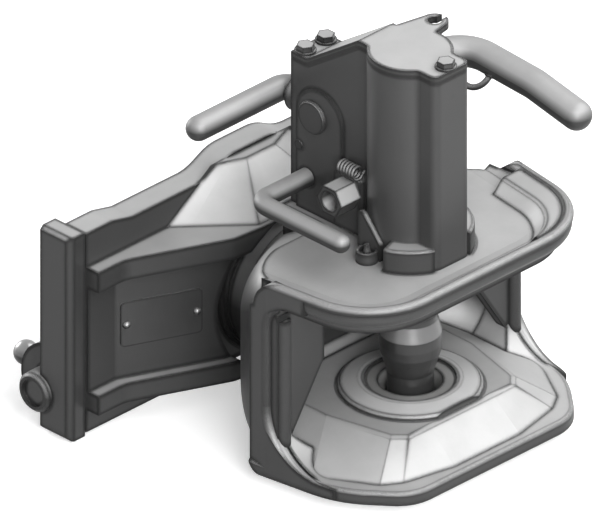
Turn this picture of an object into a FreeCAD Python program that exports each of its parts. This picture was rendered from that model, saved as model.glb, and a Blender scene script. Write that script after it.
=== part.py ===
import FreeCAD, Part
import math
import os

# Trailer coupling on a height-adjustable slider, in millimetres.
# X points out of the mouth towards the trailer, Y to the far side and Z up. The origin is the coupling
# point, where the axis of the pin crosses the axis on which the head turns.

# Running fits and seats
RUNNING_FIT = 0.05
SLIDE_FIT = 0.06
SEAT_GAP = 0.2

# Guide rails of the slider
SLIDER_WIDTH = 310.0
RAIL_THICKNESS = 13.0
RAIL_BACK_X = -163.2
RAIL_FRONT_X = -137.5
RAIL_BOTTOM_Z = -63.0
RAIL_TOP_Z = 79.5
RAIL_CHAMFER = 3.6

# Slider casting
CASTING_BACK_X = -158.0
CASTING_FLOOR_X = -146.0
STRIP_BACK_X = -155.1
STRIP_FRONT_X = -136.5
STRIP_END_Z = 79.0
STRIP_STEP_Z = 75.0
STRIP_BOTTOM_Z = -60.0
HUMP_Z = 86.2
HUMP_HALF_WIDTH = 39.0
STEP_OUTER_Y = SLIDER_WIDTH / 2 - 36.0
STEP_INNER_Y = SLIDER_WIDTH / 2 - 53.0
RIB_FRONT_X = -125.8
RIB_NOSE_X = -97.0
RIB_NOSE_Y = 53.5
RIB_CENTRE_X = -95.0
RIB_CENTRE_Y = 31.0
UPPER_RIB_TOP_Z = 55.8
UPPER_RIB_BOTTOM_Z = 41.7
LOWER_RIB_TOP_Z = -31.0
LOWER_RIB_BOTTOM_Z = -44.0
PANEL_DEPTH = 9.0
PANEL_FILLET = 8.0
POCKET_INNER_Y = SLIDER_WIDTH / 2 - 91.0
POCKET_OUTER_Y = SLIDER_WIDTH / 2 - 29.0
POCKET_BOTTOM_Z = -4.0
POCKET_TOP_Z = 50.0
POCKET_ROUND = 6.0
STRIP_FILLET = 11.0
SADDLE_Y = 62.0
SADDLE_X = -127.0
HEAD_CLEARANCE_RADIUS = 58.0
NECK_RING_RADIUS = 47.5
NECK_RING_X = -118.6
NECK_FACE_RADIUS = 45.0
NECK_FACE_X = -112.5
NECK_HUB_RADIUS = 52.0

# Shank and its bearings
SHANK_RADIUS = 27.5
SHANK_BUSH_WALL = 4.0
BUSH_LENGTH = 18.0
THRUST_WASHER_THICKNESS = 2.0
RETAINING_WASHER_RADIUS = 40.0
RETAINING_WASHER_THICKNESS = 4.0
NUT_FLATS = 60.0
NUT_BODY = 16.0
NUT_CROWN = 8.0
NUT_SLOT_WIDTH = 7.0
NUT_SLOTS = 6
SHANK_END_RADIUS = 24.0
SPLIT_PIN_RADIUS = 3.0
SPLIT_PIN_STANDOUT = 2.0

# Locking bolts
LOCK_X = -166.0
LOCK_Z = -37.7
LOCK_RADIUS = 13.0
LOCK_OUTER_Y = SLIDER_WIDTH / 2 + 4.0
LOCK_LENGTH = 42.0
LOCK_TRAVEL = 15.0
LOCK_CHAMFER = 2.0
LOCK_END_RECESS_RADIUS = 9.0
LOCK_END_RECESS = 2.5
LOCK_BOSS_RADIUS = 26.5
LOCK_BOSS_INNER_Y = SLIDER_WIDTH / 2 - 63.0
LOCK_SPRING_RADIUS = 7.0
LOCK_SPRING_WIRE = 1.0
LOCK_SPRING_TURNS = 8
LOCK_SPRING_POCKET = 4.0
LOCK_BOSS_END_WALL = 6.0
BOLT_HANDLE_RADIUS = 5.0
BOLT_HANDLE_INSET = 9.0
BOLT_HANDLE_REACH = 38.0
BOLT_KNOB_RADIUS = 8.0

# Bare data plate on the near flank
PLATE_LENGTH = 53.3
PLATE_HEIGHT = 30.9
PLATE_THICKNESS = 1.0
PLATE_CORNER = 3.0
PLATE_CENTRE_Y = 63.5 - SLIDER_WIDTH / 2
PLATE_CENTRE_Z = 6.0
RIVET_SPACING = 46.0
RIVET_RADIUS = 2.6

# Jaw
UPPER_FRONT_X = 67.5
UPPER_RIM_TOP_Z = 80.2
UPPER_RIM_HEIGHT = 14.6
UPPER_FLOOR_Z = 71.0
UPPER_PLATE_THICKNESS = 12.0
UPPER_FRONT_HALF_WIDTH = 97.0
UPPER_CORNER_RADIUS = 52.0
UPPER_PLATE_INSET = 9.0
BEAD_RADIUS = 3.0
BEAD_STANDOUT = 0.8
RIM_BOTTOM_ROUND = 6.5
RIM_BEND_X = -7.0
RIM_BEND_RADIUS = 20.0
HEEL_RADIUS = 12.0
COVE_RADIUS = 22.4
COVE_END_DEG = 54.0
CREST_INSET = 4.9
PAD_BACK_X = -6.0
PAD_OUTER_INSET = 6.2
PAD_FLOOR_INSET = 30.0
PAD_TOP_INSET = 23.0
PAD_FLOOR_FRONT_X = 56.0
PAD_TOP_FRONT_X = 59.2
PAD_TOP_Z = 79.6
PAD_EDGE_SLOPE = 1.1
PAD_CORNER_RADIUS = 42.0
SIDE_WALL_HALF_WIDTH = 110.0
SIDE_WALL_THICKNESS = 12.0
SIDE_WALL_BACK_X = -30.0
HOLLOW_BACK_REACH = 60.0
SIDE_WALL_FRONT_X = -16.0
SIDE_UPPER_BEND = 18.0
SIDE_LOWER_BEND = 40.0
SIDE_BAND_ROUND = 3.5
SIDE_BEND_START_X = 12.0
SIDE_BEND_END_X = 34.0
LOWER_FRONT_X = 73.4
LOWER_FRONT_HALF_WIDTH = 69.0
LOWER_FRONT_RADIUS = 30.0
LOWER_SHOULDER_X = 36.0
LOWER_SHOULDER_HALF_WIDTH = 100.0
LOWER_SHOULDER_RADIUS = 70.0
LOWER_RIM_TOP_Z = -47.7
LOWER_RIM_HEIGHT = 10.0
LOWER_RIM_ROUND = 2.5
DOME_TOP_Z = -28.7
DOME_BACK_X = -60.0
DOME_TOP_CORNERS = [(DOME_BACK_X, 62.0), (-10.0, 62.0), (35.0, 51.0), (42.5, 43.5), (41.5, 27.0)]
DOME_FOOT_CORNERS = [(DOME_BACK_X, 98.0), (13.0, 98.0), (50.0, 76.3), (58.1, 64.0), (66.0, 28.0)]
DOME_EDGE_BAND = 3.4
DOME_EDGE_DROP = 1.3
DOME_WALL = 12.0
SHELL_INSET = 6.0
SHELL_MIDDLE_X = -62.0
SHELL_MIDDLE_HALF_WIDTH = 84.0
SHELL_MIDDLE_BOTTOM_Z = -50.0
SHELL_MIDDLE_TOP_Z = 66.0
SHELL_NECK_X = -97.0
SHELL_NECK_RADIUS = 47.0
MOUTH_BACK_X = -68.0
COLLAR_RADIUS = 39.2
COLLAR_TOP_Z = 86.6
COLLAR_ROUND = 1.6
COLLAR_START_DEG = 22.7
COLLAR_END_DEG = 70.0
PEDESTAL_HALF_WIDTH = 22.0

# Side guards inside the mouth
GUARD_FRONT_X = -10.0
GUARD_THICKNESS = 8.0
GUARD_OUTER_Y = 104.0
GUARD_INNER_Y = 64.0
GUARD_TOP_Z = 56.5
GUARD_KNEE_Z = 12.6
GUARD_BOTTOM_Z = -34.0
GUARD_CORNER = 3.0
GUARD_BAR_RADIUS = 4.5
GUARD_BAR_Y = 98.8
GUARD_BAR_TOP_Z = 53.0

# Coupling pin and its bushes
PIN_GUIDE_RADIUS = 20.5
PIN_WAIST_RADIUS = 17.0
PIN_BARREL_RADIUS = 19.5
PIN_LOWER_RADIUS = 14.5
PIN_BOTTOM_Z = -46.0
PIN_SPIGOT_TOP_Z = -17.0
PIN_BARREL_TOP_Z = 10.0
PIN_WAIST_Z = 20.0
PIN_GUIDE_START_Z = 32.0
PIN_SHOULDER_Z = 76.0
PIN_NECK_RADIUS = 5.5
PIN_COLLAR_RADIUS = 12.0
PIN_COLLAR_THICKNESS = 6.0
PIN_TRAVEL = 85.0
GUIDE_BUSH_WALL = 4.0
GUIDE_BUSH_BOTTOM_Z = 54.0
WEAR_RING_RADIUS = 44.6
WEAR_RING_INNER_RADIUS = 28.3
WEAR_RING_RISE = 5.5
WEAR_RING_SINK = 6.0
WEAR_RING_FLAT_X = 41.0
LOWER_BUSH_MOUTH_RADIUS = 20.0
LOWER_BUSH_RISE = 1.5

# Mechanism housing
HOUSING_RADIUS = 26.4
HOUSING_HALF_WIDTH = 15.2
HOUSING_BACK_X = -87.5
HOUSING_BOTTOM_Z = 71.0
HOUSING_WALL = 3.7
HOUSING_FILLET = 4.0
EAR_FRONT_X = 36.5
EAR_CORNER_RADIUS = 5.0
COVER_TOP_Z = 206.6
COVER_LOW_Z = 176.0
COVER_THICKNESS = 4.5
COVER_LOW_FRONT_X = -74.0
COVER_HIGH_BACK_X = -30.0
COVER_LUG_X = -14.5
COVER_LUG_Y = 35.4
COVER_LUG_RADIUS = 8.5
COVER_LUG_HOLE = 4.3
REAR_BOLT_X = -81.4
REAR_BOLT_Y = 8.8
FRONT_BOLT_X = 30.5
BOLT_FLANGE_RADIUS = 6.9
BOLT_FLANGE_HEIGHT = 1.2
BOLT_HEAD_FLATS = 10.0
BOLT_HEAD_HEIGHT = 4.8
BOLT_SHANK_RADIUS = 4.0
BOLT_SHANK_LENGTH = 18.0
BOLT_BOSS_RADIUS = 6.0
BOLT_BOSS_LENGTH = 16.0
ARCH_CENTRE_X = -61.5
ARCH_RADIUS = 19.5
ARCH_RISE = 2.0
ROLL_PIN_X = -78.5
ROLL_PIN_Z = 115.0
ROLL_PIN_RADIUS = 3.0

# Lift lever
LEVER_X = -66.0
LEVER_Z = 139.2
LEVER_SHAFT_RADIUS = 9.0
LEVER_TRAVEL_DEG = 74.8
FORK_REACH = 70.0
FORK_NOSE_RADIUS = 7.0
FORK_HUB_RADIUS = 13.0
FORK_HALF_WIDTH = HOUSING_HALF_WIDTH - HOUSING_WALL - 0.7
FORK_SLOT_HALF_WIDTH = 6.2
FORK_SLOT_LENGTH = 36.0
FORK_THIN_LENGTH = 22.0
FORK_THIN_HALF = 5.0
FORK_SLACK = 1.45
CATCH_RADIUS = 16.5
SHAFT_CAP_RADIUS = 11.0
SHAFT_CAP_THICKNESS = 2.5
HANDLE_RADIUS = 9.75
HANDLE_ELBOW_Y = 110.0
HANDLE_BEND_X = -3.0
HANDLE_BEND_Z = 136.0
HANDLE_END_X = 32.7
HANDLE_END_Z = 129.0
HANDLE_ELBOW_RADIUS = 22.0
ROPE_EYE_RADIUS = 12.0
ROPE_EYE_WIRE = 2.0
ROPE_EYE_X = -46.0
SPRING_COIL_RADIUS = 10.9
SPRING_WIRE_RADIUS = 1.1
SPRING_TURNS = 4
HANDLE_SIDE_GAP = 4.3

# Release handle
RELEASE_X = -71.6
RELEASE_Z = 94.9
RELEASE_RADIUS = 6.0
RELEASE_ELBOW_Y = -60.0
RELEASE_END_X = 0.0
PAWL_REACH = 25.0
PAWL_LEAN_DEG = 20.0
PAWL_HUB_RADIUS = 9.0
PAWL_HALF_WIDTH = HOUSING_HALF_WIDTH - HOUSING_WALL - 1.0
PAWL_TIP_HALF = 2.6

# Rear handle
REAR_HANDLE_X = -106.0
REAR_HANDLE_Z = 139.0
REAR_HANDLE_RADIUS = 8.0
REAR_HANDLE_END_Y = -76.0
REAR_BOSS_RADIUS = 13.0
REAR_BOSS_LENGTH = 8.0
REAR_STUB_END_X = -85.5
REAR_GROOVE_RADIUS = 5.9
REAR_GROOVE_WIDTH = 4.6
REAR_PIN_RADIUS = 2.0

# Cable bracket with its hexagonal sleeve
BRACKET_BACK_X = -46.0
BRACKET_FRONT_X = -24.0
BRACKET_TOP_Z = 112.6
BRACKET_THICKNESS = 2.8
SLEEVE_X = -33.0
SLEEVE_Z = 101.3
SLEEVE_FLATS = 18.5
SLEEVE_LENGTH = 17.0
SLEEVE_BORE_RADIUS = 6.5

# Grease cup on the upper jaw
CUP_X = -3.3
CUP_Y = -34.0
CUP_RADIUS = 7.0
CUP_TOP_Z = 78.5
FIN_THICKNESS = 3.0
FIN_TOP_Z = 100.0

X_DIR = FreeCAD.Vector(1, 0, 0)
Y_DIR = FreeCAD.Vector(0, 1, 0)
Z_DIR = FreeCAD.Vector(0, 0, 1)
ORIGIN = FreeCAD.Vector(0, 0, 0)


# Helpers for outlines and simple solids

def point(x, y, z):
    return FreeCAD.Vector(x, y, z)


def in_plan(z):
    return lambda u, v: point(u, v, z)


def in_side_view(y):
    return lambda u, v: point(u, y, v)


def in_front_view(x):
    return lambda u, v: point(x, u, v)


def rounded_outline(corners, place):
    """Closed wire through corners (u, v, radius), each corner rounded by its own radius."""
    spots = [FreeCAD.Vector(corner[0], corner[1], 0) for corner in corners]
    radii = [corner[2] if len(corner) > 2 else 0.0 for corner in corners]
    count = len(spots)
    starts, middles, ends = [], [], []
    for index in range(count):
        here = spots[index]
        to_before = (spots[index - 1] - here).normalize()
        to_after = (spots[(index + 1) % count] - here).normalize()
        half_angle = to_before.getAngle(to_after) / 2
        radius = radii[index]
        reach = radius / math.tan(half_angle)
        inward = (to_before + to_after).normalize()
        starts.append(here + to_before * reach)
        ends.append(here + to_after * reach)
        middles.append(here + inward * (radius / math.sin(half_angle) - radius))
    edges = []
    for index in range(count):
        if radii[index] > 0:
            arc = [place(spot.x, spot.y) for spot in (starts[index], middles[index], ends[index])]
            edges.append(Part.Arc(*arc).toShape())
        line_start = ends[index]
        line_end = starts[(index + 1) % count]
        if line_start.distanceToPoint(line_end) > 1e-6:
            line = (place(line_start.x, line_start.y), place(line_end.x, line_end.y))
            edges.append(Part.makeLine(*line))
    return Part.Wire(edges)


def extruded(corners, place, travel):
    return Part.Face(rounded_outline(corners, place)).extrude(travel)


def mirrored_corners(half):
    """Outline symmetric about Y = 0 from its far half, which runs from back to front."""
    return half + [(x, -y, radius) for x, y, radius in reversed(half)]


def block(x0, x1, y0, y1, z0, z1):
    return Part.makeBox(x1 - x0, y1 - y0, z1 - z0, point(x0, y0, z0))


def cylinder_x(radius, x0, x1, y=0.0, z=0.0):
    return Part.makeCylinder(radius, x1 - x0, point(x0, y, z), X_DIR)


def cylinder_y(radius, y0, y1, x=0.0, z=0.0):
    return Part.makeCylinder(radius, y1 - y0, point(x, y0, z), Y_DIR)


def cylinder_z(radius, z0, z1, x=0.0, y=0.0):
    return Part.makeCylinder(radius, z1 - z0, point(x, y, z0), Z_DIR)


def ring_x(outer, inner, x0, x1):
    return cylinder_x(outer, x0, x1).cut(cylinder_x(inner, x0, x1))


def ring_z(outer, inner, z0, z1):
    return cylinder_z(outer, z0, z1).cut(cylinder_z(inner, z0, z1))


def hexagon_corners(flats, turn_deg=0.0):
    corner_radius = flats / 2 / math.cos(math.radians(30))
    angles = [math.radians(60 * step + turn_deg) for step in range(6)]
    return [(corner_radius * math.cos(angle), corner_radius * math.sin(angle), 0) for angle in angles]


def fused(*solids):
    return solids[0].multiFuse(list(solids[1:])).removeSplitter()


def mirrored_y(shape):
    return shape.mirror(ORIGIN, Y_DIR)


def largest_solid(shape):
    return max(shape.Solids, key=lambda solid: solid.Volume)


def edges_where(shape, test):
    return [edge for edge in shape.Edges if test(edge)]


def is_upright(edge):
    box = edge.BoundBox
    return box.ZLength > 1 and box.XLength < 1e-6 and box.YLength < 1e-6


def coil_along_y(radius, wire_radius, y0, y1, turns, x, z):
    """Helical spring whose axis runs along Y."""
    helix = Part.makeHelix((y1 - y0) / turns, y1 - y0, radius)
    section = Part.Wire(Part.makeCircle(wire_radius, point(radius, 0, 0), Y_DIR))
    coil = Part.Wire(helix.Edges).makePipeShell([section], True, True)
    coil.Placement = FreeCAD.Placement(point(x, y0, z), FreeCAD.Rotation(X_DIR, -90))
    return coil


def rod_path(points, bends):
    """Wire of straight runs with a tangent arc of the given radius at each inner point."""
    edges = []
    start = points[0]
    for index in range(1, len(points) - 1):
        corner = points[index]
        back = (points[index - 1] - corner).normalize()
        ahead = (points[index + 1] - corner).normalize()
        half_angle = back.getAngle(ahead) / 2
        bend = bends[index - 1]
        reach = bend / math.tan(half_angle)
        inward = (back + ahead).normalize()
        arc_start = corner + back * reach
        arc_end = corner + ahead * reach
        arc_middle = corner + inward * (bend / math.sin(half_angle) - bend)
        edges.append(Part.makeLine(start, arc_start))
        edges.append(Part.Arc(arc_start, arc_middle, arc_end).toShape())
        start = arc_end
    edges.append(Part.makeLine(start, points[-1]))
    return Part.Wire(edges)


def rod(points, bends, radius):
    """Round bar along a bent path."""
    path = rod_path(points, bends)
    direction = points[1] - points[0]
    section = Part.Wire(Part.makeCircle(radius, points[0], direction))
    return path.makePipeShell([section], True, False)


# Slider

def casting_plan(front_offset):
    """Plan of the flanks; the offset moves their front back for the panel between the ribs."""
    back = CASTING_BACK_X
    return mirrored_corners([
        (back, SLIDER_WIDTH / 2 - RAIL_THICKNESS, 0),
        (RIB_FRONT_X - front_offset, SLIDER_WIDTH / 2 - RAIL_THICKNESS, 0),
        (RIB_FRONT_X - front_offset, STEP_OUTER_Y, 20.0 - front_offset * 1.7),
        (RIB_NOSE_X - front_offset, RIB_NOSE_Y, 14.0),
        (RIB_CENTRE_X - front_offset, RIB_CENTRE_Y, 0),
    ])


def strip_profile():
    """Front view of the end strip with its steps and its hump."""
    end_y = SLIDER_WIDTH / 2 - RAIL_THICKNESS
    half = [
        (end_y, STRIP_BOTTOM_Z, 0),
        (end_y, STRIP_END_Z, 0),
        (STEP_OUTER_Y, STRIP_END_Z, 6.0),
        (STEP_INNER_Y, STRIP_STEP_Z, 6.0),
        (HUMP_HALF_WIDTH, STRIP_STEP_Z, 30.0),
        (HUMP_HALF_WIDTH / 2, HUMP_Z - 1.5, 30.0),
    ]
    return half + [(-y, z, radius) for y, z, radius in reversed(half)]


def make_saddle():
    """Sloping back that runs from the hump down to the level of the upper rib."""
    low = rounded_outline([
        (STRIP_FRONT_X - 1, -SADDLE_Y - 12, 0), (SADDLE_X, -SADDLE_Y, 0), (RIB_CENTRE_X - 4, -RIB_CENTRE_Y, 0),
        (RIB_CENTRE_X - 4, RIB_CENTRE_Y, 0), (SADDLE_X, SADDLE_Y, 0), (STRIP_FRONT_X - 1, SADDLE_Y + 12, 0),
    ], in_plan(UPPER_RIB_TOP_Z))
    high_z = HUMP_Z - 3
    high = rounded_outline([
        (STRIP_FRONT_X - 1, -34, 0), (STRIP_FRONT_X + 3, -24, 0), (STRIP_FRONT_X + 8, -12, 0),
        (STRIP_FRONT_X + 8, 12, 0), (STRIP_FRONT_X + 3, 24, 0), (STRIP_FRONT_X - 1, 34, 0),
    ], in_plan(high_z))
    return Part.makeLoft([low, high], True, True)


def make_slider_casting():
    """Cast body: end strip, ribbed flanks, hump, neck hub and the bosses of the locking bolts."""
    upper = extruded(casting_plan(0), in_plan(UPPER_RIB_BOTTOM_Z), Z_DIR * (UPPER_RIB_TOP_Z - UPPER_RIB_BOTTOM_Z))
    lower = extruded(casting_plan(0), in_plan(LOWER_RIB_BOTTOM_Z), Z_DIR * (LOWER_RIB_TOP_Z - LOWER_RIB_BOTTOM_Z))
    web = extruded(casting_plan(PANEL_DEPTH), in_plan(LOWER_RIB_TOP_Z - 1),
                   Z_DIR * (UPPER_RIB_BOTTOM_Z - LOWER_RIB_TOP_Z + 2))
    strip = extruded(strip_profile(), in_front_view(STRIP_BACK_X), X_DIR * (STRIP_FRONT_X - STRIP_BACK_X))
    body = fused(upper, lower, web, strip, make_saddle())

    hub = cylinder_x(NECK_HUB_RADIUS, CASTING_BACK_X, NECK_RING_X)
    ring = cylinder_x(NECK_RING_RADIUS, NECK_RING_X - 1, NECK_RING_X + 3)
    face = cylinder_x(NECK_FACE_RADIUS, NECK_RING_X, NECK_FACE_X)
    swept_by_head = cylinder_x(HEAD_CLEARANCE_RADIUS, NECK_RING_X, RIB_CENTRE_X + 20)
    rail_y = SLIDER_WIDTH / 2 - RAIL_THICKNESS
    bosses = [
        cylinder_y(LOCK_BOSS_RADIUS, LOCK_BOSS_INNER_Y, rail_y, LOCK_X, LOCK_Z),
        cylinder_y(LOCK_BOSS_RADIUS, -rail_y, -LOCK_BOSS_INNER_Y, LOCK_X, LOCK_Z),
    ]
    body = fused(body.cut(swept_by_head), hub, ring, face, *bosses)

    bush_radius = SHANK_RADIUS + SHANK_BUSH_WALL
    body = body.cut(cylinder_x(bush_radius, CASTING_BACK_X - 5, NECK_FACE_X + 5))
    for side in (-1, 1):
        inner_y, outer_y = sorted((side * (LOCK_BOSS_INNER_Y + LOCK_BOSS_END_WALL), side * (rail_y + 1)))
        body = body.cut(cylinder_y(LOCK_RADIUS + SLIDE_FIT, inner_y, outer_y, LOCK_X, LOCK_Z))
        body = body.cut(lock_handle_slot(side))
        body = body.cut(rear_pocket(side))
    return body


def rear_pocket(side):
    """Hollow at the back of each wing, left by the core."""
    y0, y1 = sorted((side * POCKET_INNER_Y, side * POCKET_OUTER_Y))
    pocket = block(CASTING_BACK_X - 5, CASTING_FLOOR_X + 4, y0, y1, POCKET_BOTTOM_Z, POCKET_TOP_Z)
    return pocket.makeFillet(POCKET_ROUND, edges_where(pocket, lambda edge: edge.BoundBox.XLength > 5))


def lock_handle_slot(side):
    """Slot in the back of a boss for the handle of its bolt."""
    outer = lock_handle_y() + BOLT_HANDLE_RADIUS + 0.5
    inner = lock_handle_y() - LOCK_TRAVEL - BOLT_HANDLE_RADIUS - 0.5
    y0, y1 = sorted((side * inner, side * outer))
    half_height = BOLT_HANDLE_RADIUS + 0.4
    return block(LOCK_X - LOCK_BOSS_RADIUS - 5, LOCK_X, y0, y1, LOCK_Z - half_height, LOCK_Z + half_height)


def lock_handle_y():
    return LOCK_OUTER_Y - LOCK_LENGTH + BOLT_HANDLE_INSET


def make_guide_rail(side):
    """Machined bar at one end of the casting, open at the back for its locking bolt."""
    inner = side * (SLIDER_WIDTH / 2 - RAIL_THICKNESS)
    outer = side * SLIDER_WIDTH / 2
    corners = [
        (RAIL_BACK_X, inner, 0), (RAIL_BACK_X, outer, 0),
        (RAIL_FRONT_X - RAIL_CHAMFER, outer, 0), (RAIL_FRONT_X, outer - side * RAIL_CHAMFER, 0),
        (RAIL_FRONT_X, inner, 0),
    ]
    bar = extruded(corners, in_plan(RAIL_BOTTOM_Z), Z_DIR * (RAIL_TOP_Z - RAIL_BOTTOM_Z))
    outer_ends = edges_where(bar, lambda edge: abs(edge.CenterOfMass.y - outer) < 0.01
                             and edge.BoundBox.ZLength < 0.01)
    bar = bar.makeChamfer(RAIL_CHAMFER * 0.7, outer_ends)
    y0, y1 = sorted((inner, outer))
    return bar.cut(cylinder_y(LOCK_RADIUS + SLIDE_FIT, y0 - 1, y1 + 1, LOCK_X, LOCK_Z))


def flank_direction():
    """Unit vector along the near flank in plan, from the rail to the nose."""
    run = point(RIB_NOSE_X - RIB_FRONT_X, STEP_OUTER_Y - RIB_NOSE_Y, 0)
    return run.normalize()


def plate_placement():
    """Placement that lays a plate's own X along the near flank and its Z out of the panel."""
    along = flank_direction()
    outward = along.cross(Z_DIR)
    share = (PLATE_CENTRE_Y + STEP_OUTER_Y) / along.y
    panel_x = RIB_FRONT_X - PANEL_DEPTH + along.x * share
    rotation = FreeCAD.Rotation(along, Z_DIR, outward, "ZXY")
    return FreeCAD.Placement(point(panel_x, PLATE_CENTRE_Y, PLATE_CENTRE_Z), rotation)


def make_data_plate():
    """Bare plate with rounded corners, flat on the panel."""
    half_length = PLATE_LENGTH / 2
    half_height = PLATE_HEIGHT / 2
    plate = extruded([
        (-half_length, -half_height, PLATE_CORNER), (half_length, -half_height, PLATE_CORNER),
        (half_length, half_height, PLATE_CORNER), (-half_length, half_height, PLATE_CORNER),
    ], in_plan(0), Z_DIR * PLATE_THICKNESS)
    plate.Placement = plate_placement()
    return plate


def make_plate_rivets():
    """Two dome rivets that hold the plate."""
    domes = []
    for x in (-RIVET_SPACING / 2, RIVET_SPACING / 2):
        dome = Part.makeSphere(RIVET_RADIUS, point(x, 0, PLATE_THICKNESS), Z_DIR, 0, 90, 360)
        dome.Placement = plate_placement()
        domes.append(dome)
    return Part.makeCompound(domes)


def make_neck_bush(x0):
    inner = SHANK_RADIUS + RUNNING_FIT
    return ring_x(SHANK_RADIUS + SHANK_BUSH_WALL, inner, x0, x0 + BUSH_LENGTH)


def make_thrust_washer():
    return ring_x(NECK_FACE_RADIUS - 1, SHANK_RADIUS + 1, NECK_FACE_X, NECK_FACE_X + THRUST_WASHER_THICKNESS)


def make_lock_bolt(side):
    """Round locking bolt with a turned recess in its outer end and a spring pocket in its inner end."""
    inner_y = LOCK_OUTER_Y - LOCK_LENGTH
    bolt = cylinder_y(LOCK_RADIUS, inner_y, LOCK_OUTER_Y, LOCK_X, LOCK_Z)
    outer_rim = edges_where(bolt, lambda edge: edge.CenterOfMass.y > LOCK_OUTER_Y - 1 and edge.Closed)
    bolt = bolt.makeChamfer(LOCK_CHAMFER, outer_rim)
    bolt = bolt.cut(cylinder_y(LOCK_END_RECESS_RADIUS, LOCK_OUTER_Y - LOCK_END_RECESS, LOCK_OUTER_Y + 1,
                               LOCK_X, LOCK_Z))
    bolt = bolt.cut(cylinder_y(LOCK_SPRING_RADIUS + 1.5, inner_y - 1, inner_y + LOCK_SPRING_POCKET, LOCK_X, LOCK_Z))
    bolt = bolt.cut(cylinder_x(BOLT_HANDLE_RADIUS, LOCK_X - LOCK_RADIUS - 1, LOCK_X - 4, lock_handle_y(), LOCK_Z))
    return bolt if side > 0 else mirrored_y(bolt)


def make_bolt_handle(side):
    """Pull handle screwed into the bolt from behind, with a ball knob."""
    stem = cylinder_x(BOLT_HANDLE_RADIUS, LOCK_X - BOLT_HANDLE_REACH, LOCK_X - 4, lock_handle_y(), LOCK_Z)
    knob_centre = point(LOCK_X - BOLT_HANDLE_REACH, lock_handle_y(), LOCK_Z)
    knob = Part.makeSphere(BOLT_KNOB_RADIUS, knob_centre, X_DIR)
    handle = fused(stem, knob)
    return handle if side > 0 else mirrored_y(handle)


def make_bolt_spring(side):
    """Compression spring between the boss's blind end and the bolt."""
    start = LOCK_BOSS_INNER_Y + LOCK_BOSS_END_WALL + LOCK_SPRING_WIRE + 0.05
    end = LOCK_OUTER_Y - LOCK_LENGTH + LOCK_SPRING_POCKET - LOCK_SPRING_WIRE - 0.05
    coil = coil_along_y(LOCK_SPRING_RADIUS, LOCK_SPRING_WIRE, start, end, LOCK_SPRING_TURNS, LOCK_X, LOCK_Z)
    return coil if side > 0 else mirrored_y(coil)


# Head

def upper_outline(inset=0.0):
    """Plan of the upper jaw: narrower towards the front, with large round corners."""
    return mirrored_corners([
        (SIDE_WALL_BACK_X - HOLLOW_BACK_REACH, upper_half_width(SIDE_WALL_BACK_X - HOLLOW_BACK_REACH) - inset, 0),
        (UPPER_FRONT_X - inset, upper_half_width(UPPER_FRONT_X - inset) - inset,
         UPPER_CORNER_RADIUS - inset * 0.8),
    ])


def upper_half_width(x):
    """Half width of the upper jaw at x: its sides run together towards the front."""
    taper = (SIDE_WALL_HALF_WIDTH - UPPER_FRONT_HALF_WIDTH) / (UPPER_FRONT_X - SIDE_WALL_BACK_X)
    return UPPER_FRONT_HALF_WIDTH + taper * (UPPER_FRONT_X - x)


def lower_outline(inset=0.0):
    """Plan of the lower jaw, which reaches further forward and has tighter corners."""
    return mirrored_corners([
        (SIDE_WALL_BACK_X, SIDE_WALL_HALF_WIDTH - inset, 0),
        (LOWER_SHOULDER_X, LOWER_SHOULDER_HALF_WIDTH - inset, LOWER_SHOULDER_RADIUS),
        (LOWER_FRONT_X - inset, LOWER_FRONT_HALF_WIDTH - inset * 0.6, LOWER_FRONT_RADIUS),
    ])


def ahead_of(x):
    reach = SLIDER_WIDTH
    return block(x, reach, -reach, reach, -reach, reach)


def make_upper_jaw():
    """Upper plate: a rim with a rounded outer edge, a hollow with a coved side, and the far pad."""
    rim_bottom = UPPER_RIM_TOP_Z - UPPER_RIM_HEIGHT
    bead_bottom = UPPER_RIM_TOP_Z - 2 * BEAD_RADIUS
    bead = extruded(upper_outline(), in_plan(bead_bottom), Z_DIR * (2 * BEAD_RADIUS))
    bead = bead.makeFillet(BEAD_RADIUS - 0.05, level_edges(bead, UPPER_RIM_TOP_Z) + level_edges(bead, bead_bottom))
    skirt = extruded(upper_outline(BEAD_STANDOUT), in_plan(rim_bottom), Z_DIR * (UPPER_RIM_HEIGHT - BEAD_RADIUS))
    skirt = skirt.makeFillet(RIM_BOTTOM_ROUND, level_edges(skirt, rim_bottom))
    rim = fused(bead, skirt)
    underside_z = UPPER_FLOOR_Z - UPPER_PLATE_THICKNESS
    plate = extruded(upper_outline(UPPER_PLATE_INSET), in_plan(underside_z), Z_DIR * (UPPER_FLOOR_Z - underside_z))
    body = fused(rim, plate).cut(make_upper_hollow())
    return fused(body, make_far_pad()).common(ahead_of(SIDE_WALL_BACK_X))


def level_edges(solid, z):
    """Outer edges of a plan-shaped slab at one level, without its back edge."""
    return edges_where(solid, lambda edge: edge.BoundBox.ZLength < 0.01
                       and abs(edge.CenterOfMass.z - z) < 0.01
                       and edge.CenterOfMass.x > SIDE_WALL_BACK_X - HOLLOW_BACK_REACH + 1)


def make_upper_hollow():
    """Space over the sunken floor; its side is a cove that ends at the rim's crest."""
    foot_inset = CREST_INSET + COVE_RADIUS * math.sin(math.radians(COVE_END_DEG))
    levels = []
    for share in (0, 1, 2, 3):
        angle = math.radians(COVE_END_DEG) * share / 3
        levels.append((foot_inset - COVE_RADIUS * math.sin(angle),
                       UPPER_FLOOR_Z + COVE_RADIUS * (1 - math.cos(angle))))
    levels.append((CREST_INSET, UPPER_RIM_TOP_Z + 5))
    return stacked_loft([(upper_outline(inset), z) for inset, z in levels])


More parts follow.
